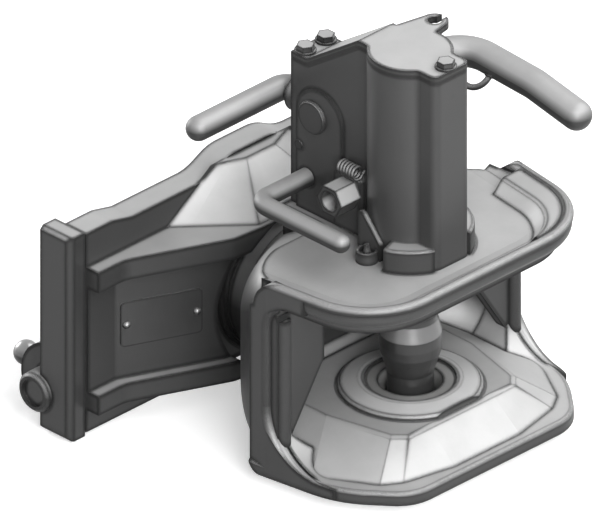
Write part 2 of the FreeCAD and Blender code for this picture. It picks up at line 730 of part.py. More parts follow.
def stacked_loft(sections):
    """Straight-sided loft through plan outlines, one slice for each pair of neighbours."""
    slices = []
    for (low, low_z), (high, high_z) in zip(sections, sections[1:]):
        slices.append(Part.makeLoft([
            rounded_outline(low, in_plan(low_z)), rounded_outline(high, in_plan(high_z)),
        ], True, True))
    return fused(*slices)


def pad_inner_outline(inset, front_x):
    back_x = SIDE_WALL_BACK_X - HOLLOW_BACK_REACH
    return mirrored_corners([
        (back_x, upper_half_width(back_x) - inset, 0),
        (front_x, upper_half_width(front_x) - inset, PAD_CORNER_RADIUS),
    ])


def make_far_pad():
    """Raised land on the far side with sloping flanks, which runs out to a point at the front corner."""
    edge_z = PAD_TOP_Z - PAD_EDGE_SLOPE
    outer = stacked_loft([
        (upper_outline(PAD_OUTER_INSET), UPPER_FLOOR_Z - 2), (upper_outline(PAD_OUTER_INSET), edge_z),
        (upper_outline(PAD_OUTER_INSET + PAD_EDGE_SLOPE), PAD_TOP_Z),
    ])
    inner = stacked_loft([
        (pad_inner_outline(PAD_FLOOR_INSET, PAD_FLOOR_FRONT_X), UPPER_FLOOR_Z),
        (pad_inner_outline(PAD_TOP_INSET, PAD_TOP_FRONT_X), edge_z),
        (pad_inner_outline(PAD_TOP_INSET - 2 * PAD_EDGE_SLOPE, PAD_TOP_FRONT_X + PAD_EDGE_SLOPE), PAD_TOP_Z),
    ])
    reach = SLIDER_WIDTH
    far_side = block(PAD_BACK_X, reach, UPPER_FRONT_HALF_WIDTH / 2, reach, UPPER_FLOOR_Z, reach)
    return largest_solid(outer.common(far_side).cut(inner))


def dome_level(corners, z, inset=0.0):
    """Outline of the pyramid at one level from its far corners (x, y)."""
    half = [(x - inset, y - inset, 0) for x, y in corners]
    return mirrored_corners(half), z


def make_lower_jaw():
    """Lower plate: a rim with a faceted flat-topped pyramid rising inside it, hollow below."""
    rim_bottom = LOWER_RIM_TOP_Z - LOWER_RIM_HEIGHT
    rim = extruded(lower_outline(), in_plan(rim_bottom), Z_DIR * LOWER_RIM_HEIGHT)
    outer_edges = edges_where(rim, lambda edge: edge.BoundBox.ZLength < 0.01
                              and edge.CenterOfMass.x > SIDE_WALL_BACK_X + 1)
    rim = rim.makeFillet(LOWER_RIM_ROUND, outer_edges)
    shoulder = []
    for (top_x, top_y), (foot_x, foot_y) in zip(DOME_TOP_CORNERS, DOME_FOOT_CORNERS):
        outward = point(foot_x - top_x, foot_y - top_y, 0)
        outward = outward.normalize() * DOME_EDGE_BAND
        shoulder.append((top_x + outward.x, top_y + outward.y))
    dome = stacked_loft([
        dome_level(DOME_FOOT_CORNERS, LOWER_RIM_TOP_Z), dome_level(shoulder, DOME_TOP_Z - DOME_EDGE_DROP),
        dome_level(DOME_TOP_CORNERS, DOME_TOP_Z),
    ])
    dome = fused(dome.common(ahead_of(SIDE_WALL_BACK_X)), dome.common(make_back_shell()))
    hollow = stacked_loft([
        dome_level(DOME_FOOT_CORNERS, rim_bottom - 1, DOME_WALL),
        dome_level(DOME_TOP_CORNERS, DOME_TOP_Z - DOME_WALL, DOME_WALL / 3),
    ]).common(ahead_of(SIDE_WALL_BACK_X + DOME_WALL / 2))
    bush_seat = cylinder_z(LOWER_BUSH_MOUTH_RADIUS + DOME_WALL, PIN_BOTTOM_Z - DOME_WALL / 2, DOME_TOP_Z - 1)
    return fused(rim, dome).cut(hollow).fuse(bush_seat).removeSplitter()


def make_side_wall(side):
    """Wall that joins the two jaws, with the wide bends of the lip at its front edge."""
    rim_bottom = UPPER_RIM_TOP_Z - UPPER_RIM_HEIGHT
    bottom_z = LOWER_RIM_TOP_Z - LOWER_RIM_HEIGHT
    corners = [
        (SIDE_WALL_BACK_X, UPPER_RIM_TOP_Z - BEAD_RADIUS, 0), (SIDE_BEND_START_X, UPPER_RIM_TOP_Z - BEAD_RADIUS, 0),
        (SIDE_BEND_START_X, rim_bottom, 0), (SIDE_WALL_FRONT_X, rim_bottom, SIDE_UPPER_BEND),
        (SIDE_WALL_FRONT_X, LOWER_RIM_TOP_Z, SIDE_LOWER_BEND), (SIDE_BEND_END_X, LOWER_RIM_TOP_Z, 0),
        (SIDE_BEND_END_X, bottom_z + LOWER_RIM_ROUND, 0), (SIDE_WALL_BACK_X, bottom_z + LOWER_RIM_ROUND, 0),
    ]
    outer_y = upper_half_width(SIDE_WALL_FRONT_X)
    inner_y = SIDE_WALL_HALF_WIDTH - SIDE_WALL_THICKNESS
    wall = extruded(corners, in_side_view(inner_y), Y_DIR * (outer_y - inner_y))
    lip = edges_where(wall, lambda edge: edge.BoundBox.YLength < 0.01
                      and edge.CenterOfMass.x < SIDE_BEND_END_X - 0.1
                      and edge.CenterOfMass.x > SIDE_WALL_FRONT_X - 1
                      and LOWER_RIM_TOP_Z - 0.1 < edge.CenterOfMass.z < rim_bottom + 0.1)
    wall = wall.makeFillet(SIDE_BAND_ROUND, lip)
    trim = extruded(upper_outline(), in_plan(bottom_z), Z_DIR * (UPPER_RIM_TOP_Z - bottom_z))
    wall = wall.common(trim)
    return wall if side > 0 else mirrored_y(wall)


def make_side_heel(side):
    """Wide cove between the lower plate and a side wall; its front follows the wall's lower bend."""
    inner_y = SIDE_WALL_HALF_WIDTH - SIDE_WALL_THICKNESS
    bottom_z = LOWER_RIM_TOP_Z - 1
    cove_start = inner_y + 0.5 - SIDE_LOWER_BEND
    cove = block(SIDE_WALL_BACK_X, SIDE_BEND_END_X, cove_start, inner_y + 0.5,
                 bottom_z, LOWER_RIM_TOP_Z + SIDE_LOWER_BEND)
    cove = cove.cut(cylinder_x(SIDE_LOWER_BEND, SIDE_WALL_BACK_X - 1, SIDE_BEND_END_X + 1,
                               cove_start, LOWER_RIM_TOP_Z + SIDE_LOWER_BEND))
    front = cylinder_y(SIDE_LOWER_BEND, cove_start - 1, inner_y + 2,
                       SIDE_WALL_FRONT_X + SIDE_LOWER_BEND, LOWER_RIM_TOP_Z + SIDE_LOWER_BEND)
    cove = cove.cut(front).cut(block(SIDE_WALL_FRONT_X + SIDE_LOWER_BEND, SIDE_BEND_END_X + 1,
                                     cove_start - 1, inner_y + 2, bottom_z - 1, LOWER_RIM_TOP_Z + SIDE_LOWER_BEND + 1))
    cove = largest_solid(cove)
    return cove if side > 0 else mirrored_y(cove)


def make_corner_trims():
    """Bodies that round the back corners of the side bands, at the top and at the bottom."""
    reach = SIDE_WALL_HALF_WIDTH + 10
    inner_y = SIDE_WALL_HALF_WIDTH - SIDE_WALL_THICKNESS
    top_z = UPPER_RIM_TOP_Z - RIM_BEND_RADIUS
    bottom_z = LOWER_RIM_TOP_Z - LOWER_RIM_HEIGHT + HEEL_RADIUS
    heel_x = SIDE_WALL_BACK_X + HEEL_RADIUS
    trims = []
    for y0, y1 in ((inner_y, reach), (-reach, -inner_y)):
        top = block(SIDE_WALL_BACK_X - 10, RIM_BEND_X, y0, y1, top_z, UPPER_RIM_TOP_Z + 5)
        trims.append(top.cut(cylinder_y(RIM_BEND_RADIUS, y0 - 1, y1 + 1, RIM_BEND_X, top_z)))
        low = block(SIDE_WALL_BACK_X - 10, heel_x, y0, y1, bottom_z - HEEL_RADIUS - 5, bottom_z)
        trims.append(low.cut(cylinder_y(HEEL_RADIUS, y0 - 1, y1 + 1, heel_x, bottom_z)))
    return trims


def shell_section(x, half_width, bottom_z, top_z, radius):
    return rounded_outline([
        (-half_width, bottom_z, radius), (half_width, bottom_z, radius),
        (half_width, top_z, radius), (-half_width, top_z, radius),
    ], in_front_view(x))


def make_back_shell():
    """Funnel from the mouth's back edge to the round neck, thick-walled."""
    outer = Part.makeLoft([
        shell_section(SIDE_WALL_BACK_X + 10, SIDE_WALL_HALF_WIDTH - SHELL_INSET,
                      LOWER_RIM_TOP_Z - LOWER_RIM_HEIGHT + 1, UPPER_RIM_TOP_Z - 2, 24.0),
        shell_section(SIDE_WALL_BACK_X, SIDE_WALL_HALF_WIDTH - SHELL_INSET - 1,
                      LOWER_RIM_TOP_Z - LOWER_RIM_HEIGHT + 1.5, UPPER_RIM_TOP_Z - 2.5, 26.0),
        shell_section(SHELL_MIDDLE_X, SHELL_MIDDLE_HALF_WIDTH, SHELL_MIDDLE_BOTTOM_Z, SHELL_MIDDLE_TOP_Z, 34.0),
        shell_section(SHELL_NECK_X, SHELL_NECK_RADIUS, -SHELL_NECK_RADIUS, SHELL_NECK_RADIUS,
                      SHELL_NECK_RADIUS - 1),
    ], True, False)
    return outer


def make_mouth_space():
    """Open space between the jaws, from the front to the flat back wall."""
    top = UPPER_FLOOR_Z - UPPER_PLATE_THICKNESS
    inner_half = SIDE_WALL_HALF_WIDTH - SIDE_WALL_THICKNESS
    return Part.makeLoft([
        shell_section(SIDE_WALL_FRONT_X + 6, inner_half, LOWER_RIM_TOP_Z, top, 26.0),
        shell_section(SIDE_WALL_BACK_X, inner_half - 2, LOWER_RIM_TOP_Z + 4, top - 1, 26.0),
        shell_section(MOUTH_BACK_X, 52.0, -26.0, 36.0, 20.0),
    ], True, False)


def make_collar():
    """Two arcs of the raised collar round the foot of the housing."""
    ring = ring_z(COLLAR_RADIUS, HOUSING_RADIUS + SEAT_GAP, UPPER_FLOOR_Z - 2, COLLAR_TOP_Z)
    outer_rim = edges_where(ring, lambda edge: edge.Closed and edge.BoundBox.ZLength < 0.01
                            and edge.CenterOfMass.z > COLLAR_TOP_Z - 0.01 and edge.BoundBox.XLength > 2 * COLLAR_RADIUS - 1)
    ring = ring.makeFillet(COLLAR_ROUND, outer_rim)
    reach = COLLAR_RADIUS * 2
    start = math.radians(COLLAR_START_DEG)
    end = math.radians(COLLAR_END_DEG)
    wedge = extruded([
        (0, 0, 0), (reach * math.cos(start), reach * math.sin(start), 0),
        (reach * math.cos(end), reach * math.sin(end), 0),
    ], in_plan(UPPER_FLOOR_Z - 3), Z_DIR * 40)
    far = ring.common(wedge).cut(housing_outline_solid(UPPER_FLOOR_Z - 3, COLLAR_TOP_Z + 1))
    return far, mirrored_y(far)


def make_jaw_casting():
    """Upper and lower jaw, side walls, funnel, neck and shank in one casting."""
    far_collar, near_collar = make_collar()
    pedestal = block(HOUSING_BACK_X, SIDE_WALL_FRONT_X, -PEDESTAL_HALF_WIDTH, PEDESTAL_HALF_WIDTH, 40.0, UPPER_FLOOR_Z)
    shell = make_back_shell().fuse(pedestal)
    mouth = make_mouth_space()
    shell = shell.cut(make_upper_hollow()).cut(mouth)
    neck = cylinder_x(NECK_FACE_RADIUS, NECK_FACE_X + THRUST_WASHER_THICKNESS + SEAT_GAP, SHELL_NECK_X + 2)
    shank = cylinder_x(SHANK_RADIUS, shank_shoulder_x(), SHELL_NECK_X + 2)
    thread = cylinder_x(SHANK_END_RADIUS, shank_end_x(), shank_shoulder_x() + 1)
    guide_boss = cylinder_z(PIN_GUIDE_RADIUS + GUIDE_BUSH_WALL + 8, GUIDE_BUSH_BOTTOM_Z, UPPER_FLOOR_Z)
    band = fused(make_upper_jaw(), make_lower_jaw(), make_side_wall(-1), make_side_wall(1))
    for trim in make_corner_trims():
        band = band.cut(trim)
    jaw = fused(band, shell, make_side_heel(-1), make_side_heel(1),
                neck, shank, thread, guide_boss, far_collar, near_collar)
    guide_bore = PIN_GUIDE_RADIUS + GUIDE_BUSH_WALL
    jaw = jaw.cut(cylinder_z(guide_bore, GUIDE_BUSH_BOTTOM_Z - 5, UPPER_FLOOR_Z + 1))
    ring_floor = DOME_TOP_Z - WEAR_RING_SINK
    jaw = jaw.cut(cylinder_z(WEAR_RING_RADIUS, ring_floor, DOME_TOP_Z + 20).cut(ahead_of(WEAR_RING_FLAT_X)))
    bush_outer = LOWER_BUSH_MOUTH_RADIUS + 4
    jaw = jaw.cut(cylinder_z(bush_outer, PIN_BOTTOM_Z - 10, DOME_TOP_Z))
    jaw = jaw.cut(split_pin_body(SPLIT_PIN_RADIUS + 0.3))
    return jaw


def shank_shoulder_x():
    return CASTING_BACK_X - SEAT_GAP


def shank_end_x():
    return shank_shoulder_x() - RETAINING_WASHER_THICKNESS - NUT_BODY - NUT_CROWN - 3


def split_pin_x():
    return shank_shoulder_x() - RETAINING_WASHER_THICKNESS - NUT_BODY - NUT_CROWN / 2


def split_pin_body(radius):
    reach = NUT_FLATS / 2 + 2 * SPLIT_PIN_STANDOUT
    return cylinder_z(radius, -reach, reach, split_pin_x(), 0)


def make_retaining_washer():
    end = shank_shoulder_x()
    return ring_x(RETAINING_WASHER_RADIUS, SHANK_END_RADIUS + 0.3, end - RETAINING_WASHER_THICKNESS, end)


def make_castle_nut():
    """Hexagonal nut with a slotted crown."""
    front = shank_shoulder_x() - RETAINING_WASHER_THICKNESS
    crown_start = front - NUT_BODY
    hexagon = extruded(hexagon_corners(NUT_FLATS, 30), in_front_view(crown_start), X_DIR * NUT_BODY)
    crown = cylinder_x(NUT_FLATS / 2 - 2, crown_start - NUT_CROWN, crown_start)
    nut = fused(hexagon, crown).cut(cylinder_x(SHANK_END_RADIUS, crown_start - NUT_CROWN - 1, front + 1))
    slot = block(crown_start - NUT_CROWN - 1, crown_start, -NUT_SLOT_WIDTH / 2, NUT_SLOT_WIDTH / 2, 0, NUT_FLATS)
    for step in range(NUT_SLOTS):
        turned = slot.copy()
        turned.rotate(ORIGIN, X_DIR, 360.0 / NUT_SLOTS * step)
        nut = nut.cut(turned)
    return nut


def make_split_pin():
    """Split pin through the crown, with its eye above and its legs bent below."""
    reach = NUT_FLATS / 2 + SPLIT_PIN_STANDOUT
    body = cylinder_z(SPLIT_PIN_RADIUS, -reach, reach, split_pin_x(), 0)
    eye_radius = SPLIT_PIN_RADIUS * 1.5
    eye = Part.makeTorus(eye_radius, SPLIT_PIN_RADIUS * 0.7, point(split_pin_x(), 0, reach + eye_radius - 1), X_DIR)
    return fused(body, eye)


def make_side_guard(side, jaw):
    """Plate inside the mouth that stops the drawbar eye, with a slanting lower edge and an outer bar."""
    corners = [
        (side * GUARD_OUTER_Y, GUARD_TOP_Z, 0), (side * GUARD_OUTER_Y, GUARD_BOTTOM_Z, 0),
        (side * (GUARD_OUTER_Y - 10), GUARD_BOTTOM_Z, GUARD_CORNER), (side * GUARD_INNER_Y, GUARD_KNEE_Z, GUARD_CORNER),
        (side * GUARD_INNER_Y, GUARD_TOP_Z, GUARD_CORNER),
    ]
    back = GUARD_FRONT_X - GUARD_THICKNESS
    plate = extruded(corners, in_front_view(back), X_DIR * GUARD_THICKNESS)
    bar_foot = point(GUARD_FRONT_X, side * GUARD_BAR_Y, GUARD_BOTTOM_Z)
    bar = Part.makeCylinder(GUARD_BAR_RADIUS, GUARD_BAR_TOP_Z - GUARD_BOTTOM_Z, bar_foot, Z_DIR)
    return largest_solid(fused(plate, bar).cut(jaw))


def make_wear_ring():
    """Replaceable ring on the lower jaw, domed, with a flat seat in the middle."""
    bottom = DOME_TOP_Z - WEAR_RING_SINK
    top = DOME_TOP_Z + WEAR_RING_RISE
    profile = Part.Face(rounded_outline([
        (WEAR_RING_INNER_RADIUS, bottom, 0), (WEAR_RING_RADIUS, bottom, 0),
        (WEAR_RING_RADIUS, top - 4.0, 0), (WEAR_RING_RADIUS - 1.5, top - 2.5, 0),
        (WEAR_RING_INNER_RADIUS + 4, top, 0), (WEAR_RING_INNER_RADIUS, top, 0),
    ], in_side_view(0)))
    ring = profile.revolve(ORIGIN, Z_DIR, 360)
    return ring.cut(ahead_of(WEAR_RING_FLAT_X))


def make_lower_bush():
    """Bush of the lower jaw, with a wide funnel for the pin's end."""
    outer = LOWER_BUSH_MOUTH_RADIUS + 4
    bottom = PIN_BOTTOM_Z - 6
    top = DOME_TOP_Z + WEAR_RING_RISE - LOWER_BUSH_RISE
    seat = DOME_TOP_Z - WEAR_RING_SINK
    bore = PIN_LOWER_RADIUS + SLIDE_FIT
    profile = Part.Face(rounded_outline([
        (bore, bottom, 0), (outer, bottom, 0), (outer, seat, 0), (WEAR_RING_INNER_RADIUS, seat, 0),
        (WEAR_RING_INNER_RADIUS, top, 0), (LOWER_BUSH_MOUTH_RADIUS, top, 0), (bore, top - 9, 0),
    ], in_side_view(0)))
    return profile.revolve(ORIGIN, Z_DIR, 360)


def make_guide_bush():
    return ring_z(PIN_GUIDE_RADIUS + GUIDE_BUSH_WALL, PIN_GUIDE_RADIUS + SLIDE_FIT,
                  GUIDE_BUSH_BOTTOM_Z, UPPER_FLOOR_Z)


def make_coupling_pin():
    """Barrel pin: spigot, barrel, waist, guide and the neck that the fork lifts."""
    nose_half = FORK_NOSE_RADIUS + FORK_SLACK
    centre = fork_nose_z()
    profile = [
        (0, PIN_BOTTOM_Z), (PIN_LOWER_RADIUS - 3, PIN_BOTTOM_Z), (PIN_LOWER_RADIUS, PIN_BOTTOM_Z + 4),
        (PIN_LOWER_RADIUS, PIN_SPIGOT_TOP_Z), (PIN_BARREL_RADIUS - 0.7, -3.1), (PIN_BARREL_RADIUS, 3.0),
        (PIN_BARREL_RADIUS, PIN_BARREL_TOP_Z), (PIN_WAIST_RADIUS, PIN_WAIST_Z), (PIN_WAIST_RADIUS, PIN_WAIST_Z + 4),
        (PIN_GUIDE_RADIUS, PIN_GUIDE_START_Z), (PIN_GUIDE_RADIUS, PIN_SHOULDER_Z),
        (PIN_COLLAR_RADIUS, centre - nose_half - 1), (PIN_COLLAR_RADIUS, centre - nose_half),
        (PIN_NECK_RADIUS, centre - nose_half), (PIN_NECK_RADIUS, centre + nose_half),
        (PIN_COLLAR_RADIUS, centre + nose_half), (PIN_COLLAR_RADIUS, centre + nose_half + PIN_COLLAR_THICKNESS - 1),
        (PIN_COLLAR_RADIUS - 1, centre + nose_half + PIN_COLLAR_THICKNESS),
        (0, centre + nose_half + PIN_COLLAR_THICKNESS),
    ]
    face = Part.Face(Part.makePolygon([point(r, 0, z) for r, z in profile + profile[:1]]))
    return face.revolve(ORIGIN, Z_DIR, 360)


def housing_outline_solid(bottom, top, with_lug=False):
    """Upright prism of the housing's plan: round tower, box behind it and ear in front."""
    tower = cylinder_z(HOUSING_RADIUS, bottom, top)
    box = block(HOUSING_BACK_X, 0, -HOUSING_HALF_WIDTH, HOUSING_HALF_WIDTH, bottom, top)
    ear = extruded([
        (0, -HOUSING_HALF_WIDTH, 0), (EAR_FRONT_X, -HOUSING_HALF_WIDTH, EAR_CORNER_RADIUS),
        (EAR_FRONT_X, HOUSING_HALF_WIDTH, EAR_CORNER_RADIUS), (0, HOUSING_HALF_WIDTH, 0),
    ], in_plan(bottom), Z_DIR * (top - bottom))
    body = fused(tower, box, ear)
    inner_corners = edges_where(body, lambda edge: is_upright(edge)
                                and abs(abs(edge.CenterOfMass.y) - HOUSING_HALF_WIDTH) < 0.01
                                and abs(edge.CenterOfMass.x) < HOUSING_RADIUS)
    body = body.makeFillet(HOUSING_FILLET, inner_corners)
    if not with_lug:
        return body
    lug = extruded([
        (COVER_LUG_X - 16, 0, 0), (COVER_LUG_X + 16, 0, 0),
        (COVER_LUG_X + COVER_LUG_RADIUS, COVER_LUG_Y, 0), (COVER_LUG_X - COVER_LUG_RADIUS, COVER_LUG_Y, 0),
    ], in_plan(bottom), Z_DIR * (top - bottom))
    tip = cylinder_z(COVER_LUG_RADIUS, bottom, top, COVER_LUG_X, COVER_LUG_Y)
    body = fused(body, lug, tip)
    hole = cylinder_z(COVER_LUG_HOLE, bottom, top, COVER_LUG_X, COVER_LUG_Y)
    slot = block(COVER_LUG_X - 2, COVER_LUG_X + 2, COVER_LUG_Y, COVER_LUG_Y + 12, bottom, top)
    return body.cut(hole).cut(slot)


def roof_slab(drop, thickness):
    """Slab that follows the roof line: low at the back, sloping, then high."""
    reach = 60.0
    low, high = COVER_LOW_Z - drop, COVER_TOP_Z - drop
    corners = [
        (HOUSING_BACK_X - 5, low, 0), (COVER_LOW_FRONT_X, low, 0), (COVER_HIGH_BACK_X, high, 0), (60.0, high, 0),
        (60.0, high - thickness, 0), (COVER_HIGH_BACK_X, high - thickness, 0),
        (COVER_LOW_FRONT_X, low - thickness, 0), (HOUSING_BACK_X - 5, low - thickness, 0),
    ]
    return extruded(corners, in_side_view(-reach), Y_DIR * (2 * reach))


def below_roof(drop):
    low, high = COVER_LOW_Z - drop, COVER_TOP_Z - drop
    corners = [
        (HOUSING_BACK_X - 20, low, 0), (COVER_LOW_FRONT_X, low, 0), (COVER_HIGH_BACK_X, high, 0), (60.0, high, 0),
        (60.0, 0, 0), (HOUSING_BACK_X - 20, 0, 0),
    ]
    reach = 60.0
    return extruded(corners, in_side_view(-reach), Y_DIR * (2 * reach))


def cover_bolt_places():
    return [
        (REAR_BOLT_X, -REAR_BOLT_Y, COVER_LOW_Z), (REAR_BOLT_X, REAR_BOLT_Y, COVER_LOW_Z),
        (FRONT_BOLT_X, 0.0, COVER_TOP_Z),
    ]


def make_mechanism_housing():
    """Cast housing of the lift mechanism, hollow, with bearings for its shafts."""
    prism = housing_outline_solid(HOUSING_BOTTOM_Z, COVER_TOP_Z)
    body = prism.common(below_roof(COVER_THICKNESS))
    inner_half = HOUSING_HALF_WIDTH - HOUSING_WALL
    tower_space = cylinder_z(PIN_GUIDE_RADIUS + 1, HOUSING_BOTTOM_Z - 1, COVER_TOP_Z)
    box_space = block(HOUSING_BACK_X + HOUSING_WALL, 0, -inner_half, inner_half, HOUSING_BOTTOM_Z + 6, COVER_TOP_Z)
    cavity = fused(tower_space, box_space)
    for x, y, z in cover_bolt_places()[:2]:
        cavity = cavity.cut(cylinder_z(BOLT_BOSS_RADIUS, z - BOLT_BOSS_LENGTH, z, x, y))
    body = body.cut(cavity)

    arch = extruded([
        (ARCH_CENTRE_X - ARCH_RADIUS, HOUSING_BOTTOM_Z, 0), (ARCH_CENTRE_X + ARCH_RADIUS, HOUSING_BOTTOM_Z, 0),
        (ARCH_CENTRE_X + ARCH_RADIUS, LEVER_Z + ARCH_RADIUS, ARCH_RADIUS - 0.01),
        (ARCH_CENTRE_X - ARCH_RADIUS, LEVER_Z + ARCH_RADIUS, ARCH_RADIUS - 0.01),
    ], in_side_view(-HOUSING_HALF_WIDTH - ARCH_RISE), Y_DIR * (ARCH_RISE + 0.5))
    far_boss = cylinder_y(LEVER_SHAFT_RADIUS + 5, HOUSING_HALF_WIDTH - 0.5, HOUSING_HALF_WIDTH + 4, LEVER_X, LEVER_Z)
    boss_back = HOUSING_BACK_X - REAR_BOSS_LENGTH
    rear_boss = cylinder_x(REAR_BOSS_RADIUS, boss_back, HOUSING_BACK_X + 0.5, 0, REAR_HANDLE_Z)
    body = fused(body, arch, far_boss, rear_boss)

    shaft_bore = cylinder_y(LEVER_SHAFT_RADIUS + RUNNING_FIT, -30, 30, LEVER_X, LEVER_Z)
    release_bore = cylinder_y(RELEASE_RADIUS + RUNNING_FIT, -30, HOUSING_HALF_WIDTH - 1, RELEASE_X, RELEASE_Z)
    stub_bore = cylinder_x(REAR_HANDLE_RADIUS + RUNNING_FIT, boss_back - 1, REAR_STUB_END_X, 0, REAR_HANDLE_Z)
    pin_bore = cylinder_z(REAR_PIN_RADIUS, REAR_HANDLE_Z - 11, REAR_HANDLE_Z + 15, rear_groove_x(), rear_pin_y())
    body = body.cut(shaft_bore).cut(release_bore).cut(stub_bore).cut(pin_bore)
    roll_pin_hole = cylinder_y(ROLL_PIN_RADIUS, -30, -HOUSING_HALF_WIDTH, ROLL_PIN_X, ROLL_PIN_Z)
    body = body.cut(roll_pin_hole)
    for x, y, z in cover_bolt_places():
        body = body.cut(cylinder_z(BOLT_SHANK_RADIUS, z - BOLT_SHANK_LENGTH, z + 1, x, y))
    return body


def make_housing_cover():
    """Bent plate that closes the housing, with the open lug on its far side."""
    prism = housing_outline_solid(HOUSING_BOTTOM_Z, COVER_TOP_Z + 1, True)
    cover = prism.common(roof_slab(0.0, COVER_THICKNESS))
    for x, y, z in cover_bolt_places():
        cover = cover.cut(cylinder_z(BOLT_SHANK_RADIUS + 0.3, z - 10, z + 1, x, y))
    return cover


def make_cover_bolts():
    """Three flanged hexagon bolts."""
    bolts = []
    for x, y, z in cover_bolt_places():
        flange = cylinder_z(BOLT_FLANGE_RADIUS, z, z + BOLT_FLANGE_HEIGHT, x, y)
        head = extruded(hexagon_corners(BOLT_HEAD_FLATS), in_plan(z + BOLT_FLANGE_HEIGHT),
                        Z_DIR * (BOLT_HEAD_HEIGHT - BOLT_FLANGE_HEIGHT))
        head.translate(point(x, y, 0))
        shank = cylinder_z(BOLT_SHANK_RADIUS, z - BOLT_SHANK_LENGTH + 2, z, x, y)
        bolts.append(fused(flange, head, shank))
    return Part.makeCompound(bolts)


def make_roll_pin():
    return cylinder_y(ROLL_PIN_RADIUS, -HOUSING_HALF_WIDTH - ARCH_RISE - 0.8, -HOUSING_HALF_WIDTH,
                      ROLL_PIN_X, ROLL_PIN_Z)


# Lift lever

def fork_rest_angle():
    return math.radians(LEVER_TRAVEL_DEG / 2)


def fork_nose_z():
    """Height of the fork's nose at rest, half of the travel below the shaft."""
    return LEVER_Z - FORK_REACH * math.sin(fork_rest_angle())


def make_lift_fork():
    """Hub on the shaft with two arms that reach round the pin's neck."""
    hub = cylinder_y(FORK_HUB_RADIUS, -FORK_HALF_WIDTH, FORK_HALF_WIDTH)
    thin_start = FORK_REACH - FORK_THIN_LENGTH
    arm = extruded([
        (0, -FORK_HUB_RADIUS + 2, 0), (thin_start, -FORK_THIN_HALF, 0), (FORK_REACH, -FORK_THIN_HALF, 0),
        (FORK_REACH, FORK_THIN_HALF, 0), (thin_start, FORK_THIN_HALF, 0), (0, FORK_HUB_RADIUS - 2, 0),
    ], in_side_view(-FORK_HALF_WIDTH), Y_DIR * (2 * FORK_HALF_WIDTH))
    nose = cylinder_y(FORK_NOSE_RADIUS, -FORK_HALF_WIDTH, FORK_HALF_WIDTH, FORK_REACH, 0)
    catch = extruded([
        (-4, 0, 0), (-4, -CATCH_RADIUS, 1.0), (4, -CATCH_RADIUS, 1.0), (4, 0, 0),
    ], in_side_view(-FORK_HALF_WIDTH), Y_DIR * (2 * FORK_HALF_WIDTH))
    body = fused(hub, arm, nose, catch)
    slot_start = FORK_REACH - FORK_SLOT_LENGTH
    slot = block(slot_start, FORK_REACH + 20, -FORK_SLOT_HALF_WIDTH, FORK_SLOT_HALF_WIDTH, -20, 20)
    spring_space = cylinder_y(FORK_HUB_RADIUS + 0.5, -FORK_SLOT_HALF_WIDTH, FORK_SLOT_HALF_WIDTH)
    body = body.cut(slot).cut(spring_space).cut(cylinder_y(LEVER_SHAFT_RADIUS, -30, 30))
    body.rotate(ORIGIN, Y_DIR, math.degrees(fork_rest_angle()))
    body.translate(point(LEVER_X, 0, LEVER_Z))
    return body


def make_lift_shaft():
    """Shaft through the housing; the handle is welded to its far end."""
    near_end = -HOUSING_HALF_WIDTH - ARCH_RISE - 0.3
    return cylinder_y(LEVER_SHAFT_RADIUS, near_end, HOUSING_HALF_WIDTH + HANDLE_SIDE_GAP, LEVER_X, LEVER_Z)


def make_shaft_cap():
    start = -HOUSING_HALF_WIDTH - ARCH_RISE - 0.3
    cap = cylinder_y(SHAFT_CAP_RADIUS, start - SHAFT_CAP_THICKNESS, start, LEVER_X, LEVER_Z)
    rim = edges_where(cap, lambda edge: edge.CenterOfMass.y < start - SHAFT_CAP_THICKNESS + 0.1 and edge.Closed)
    return cap.makeChamfer(0.8, rim)


def make_lift_handle():
    """Bent round handle with a ball end."""
    start = point(LEVER_X, HOUSING_HALF_WIDTH + HANDLE_SIDE_GAP, LEVER_Z)
    elbow = point(LEVER_X, HANDLE_ELBOW_Y, LEVER_Z)
    bend = point(HANDLE_BEND_X, HANDLE_ELBOW_Y, HANDLE_BEND_Z)
    end = point(HANDLE_END_X, HANDLE_ELBOW_Y, HANDLE_END_Z)
    bar = rod([start, elbow, bend, end], [HANDLE_ELBOW_RADIUS, 30.0], HANDLE_RADIUS)
    return fused(bar, Part.makeSphere(HANDLE_RADIUS, end))


def make_rope_eye():
    """Half ring under the handle for a pull rope."""
    centre = point(ROPE_EYE_X, HANDLE_ELBOW_Y - HANDLE_RADIUS + 2, rope_eye_z())
    ring = Part.makeTorus(ROPE_EYE_RADIUS, ROPE_EYE_WIRE, centre, Y_DIR)
    ring.rotate(centre, X_DIR, -35)
    return largest_solid(ring.cut(make_lift_handle()))


def rope_eye_z():
    return HANDLE_BEND_Z - 3


def make_closing_spring():
    """Torsion spring wound on the shaft between the cheeks of the fork."""
    half_length = FORK_SLOT_HALF_WIDTH - SPRING_WIRE_RADIUS - 0.2
    return coil_along_y(SPRING_COIL_RADIUS, SPRING_WIRE_RADIUS, -half_length, half_length, SPRING_TURNS,
                        LEVER_X, LEVER_Z)


# Release handle

def make_release_handle():
    """Angled rod: shaft into the housing, elbow and grip with a ball end."""
    start = point(RELEASE_X, HOUSING_HALF_WIDTH - 2, RELEASE_Z)
    elbow = point(RELEASE_X, RELEASE_ELBOW_Y, RELEASE_Z)
    end = point(RELEASE_END_X, RELEASE_ELBOW_Y, RELEASE_Z)
    bar = rod([start, elbow, end], [RELEASE_RADIUS + 3], RELEASE_RADIUS)
    bar = fused(bar, Part.makeSphere(RELEASE_RADIUS, end))
    return bar


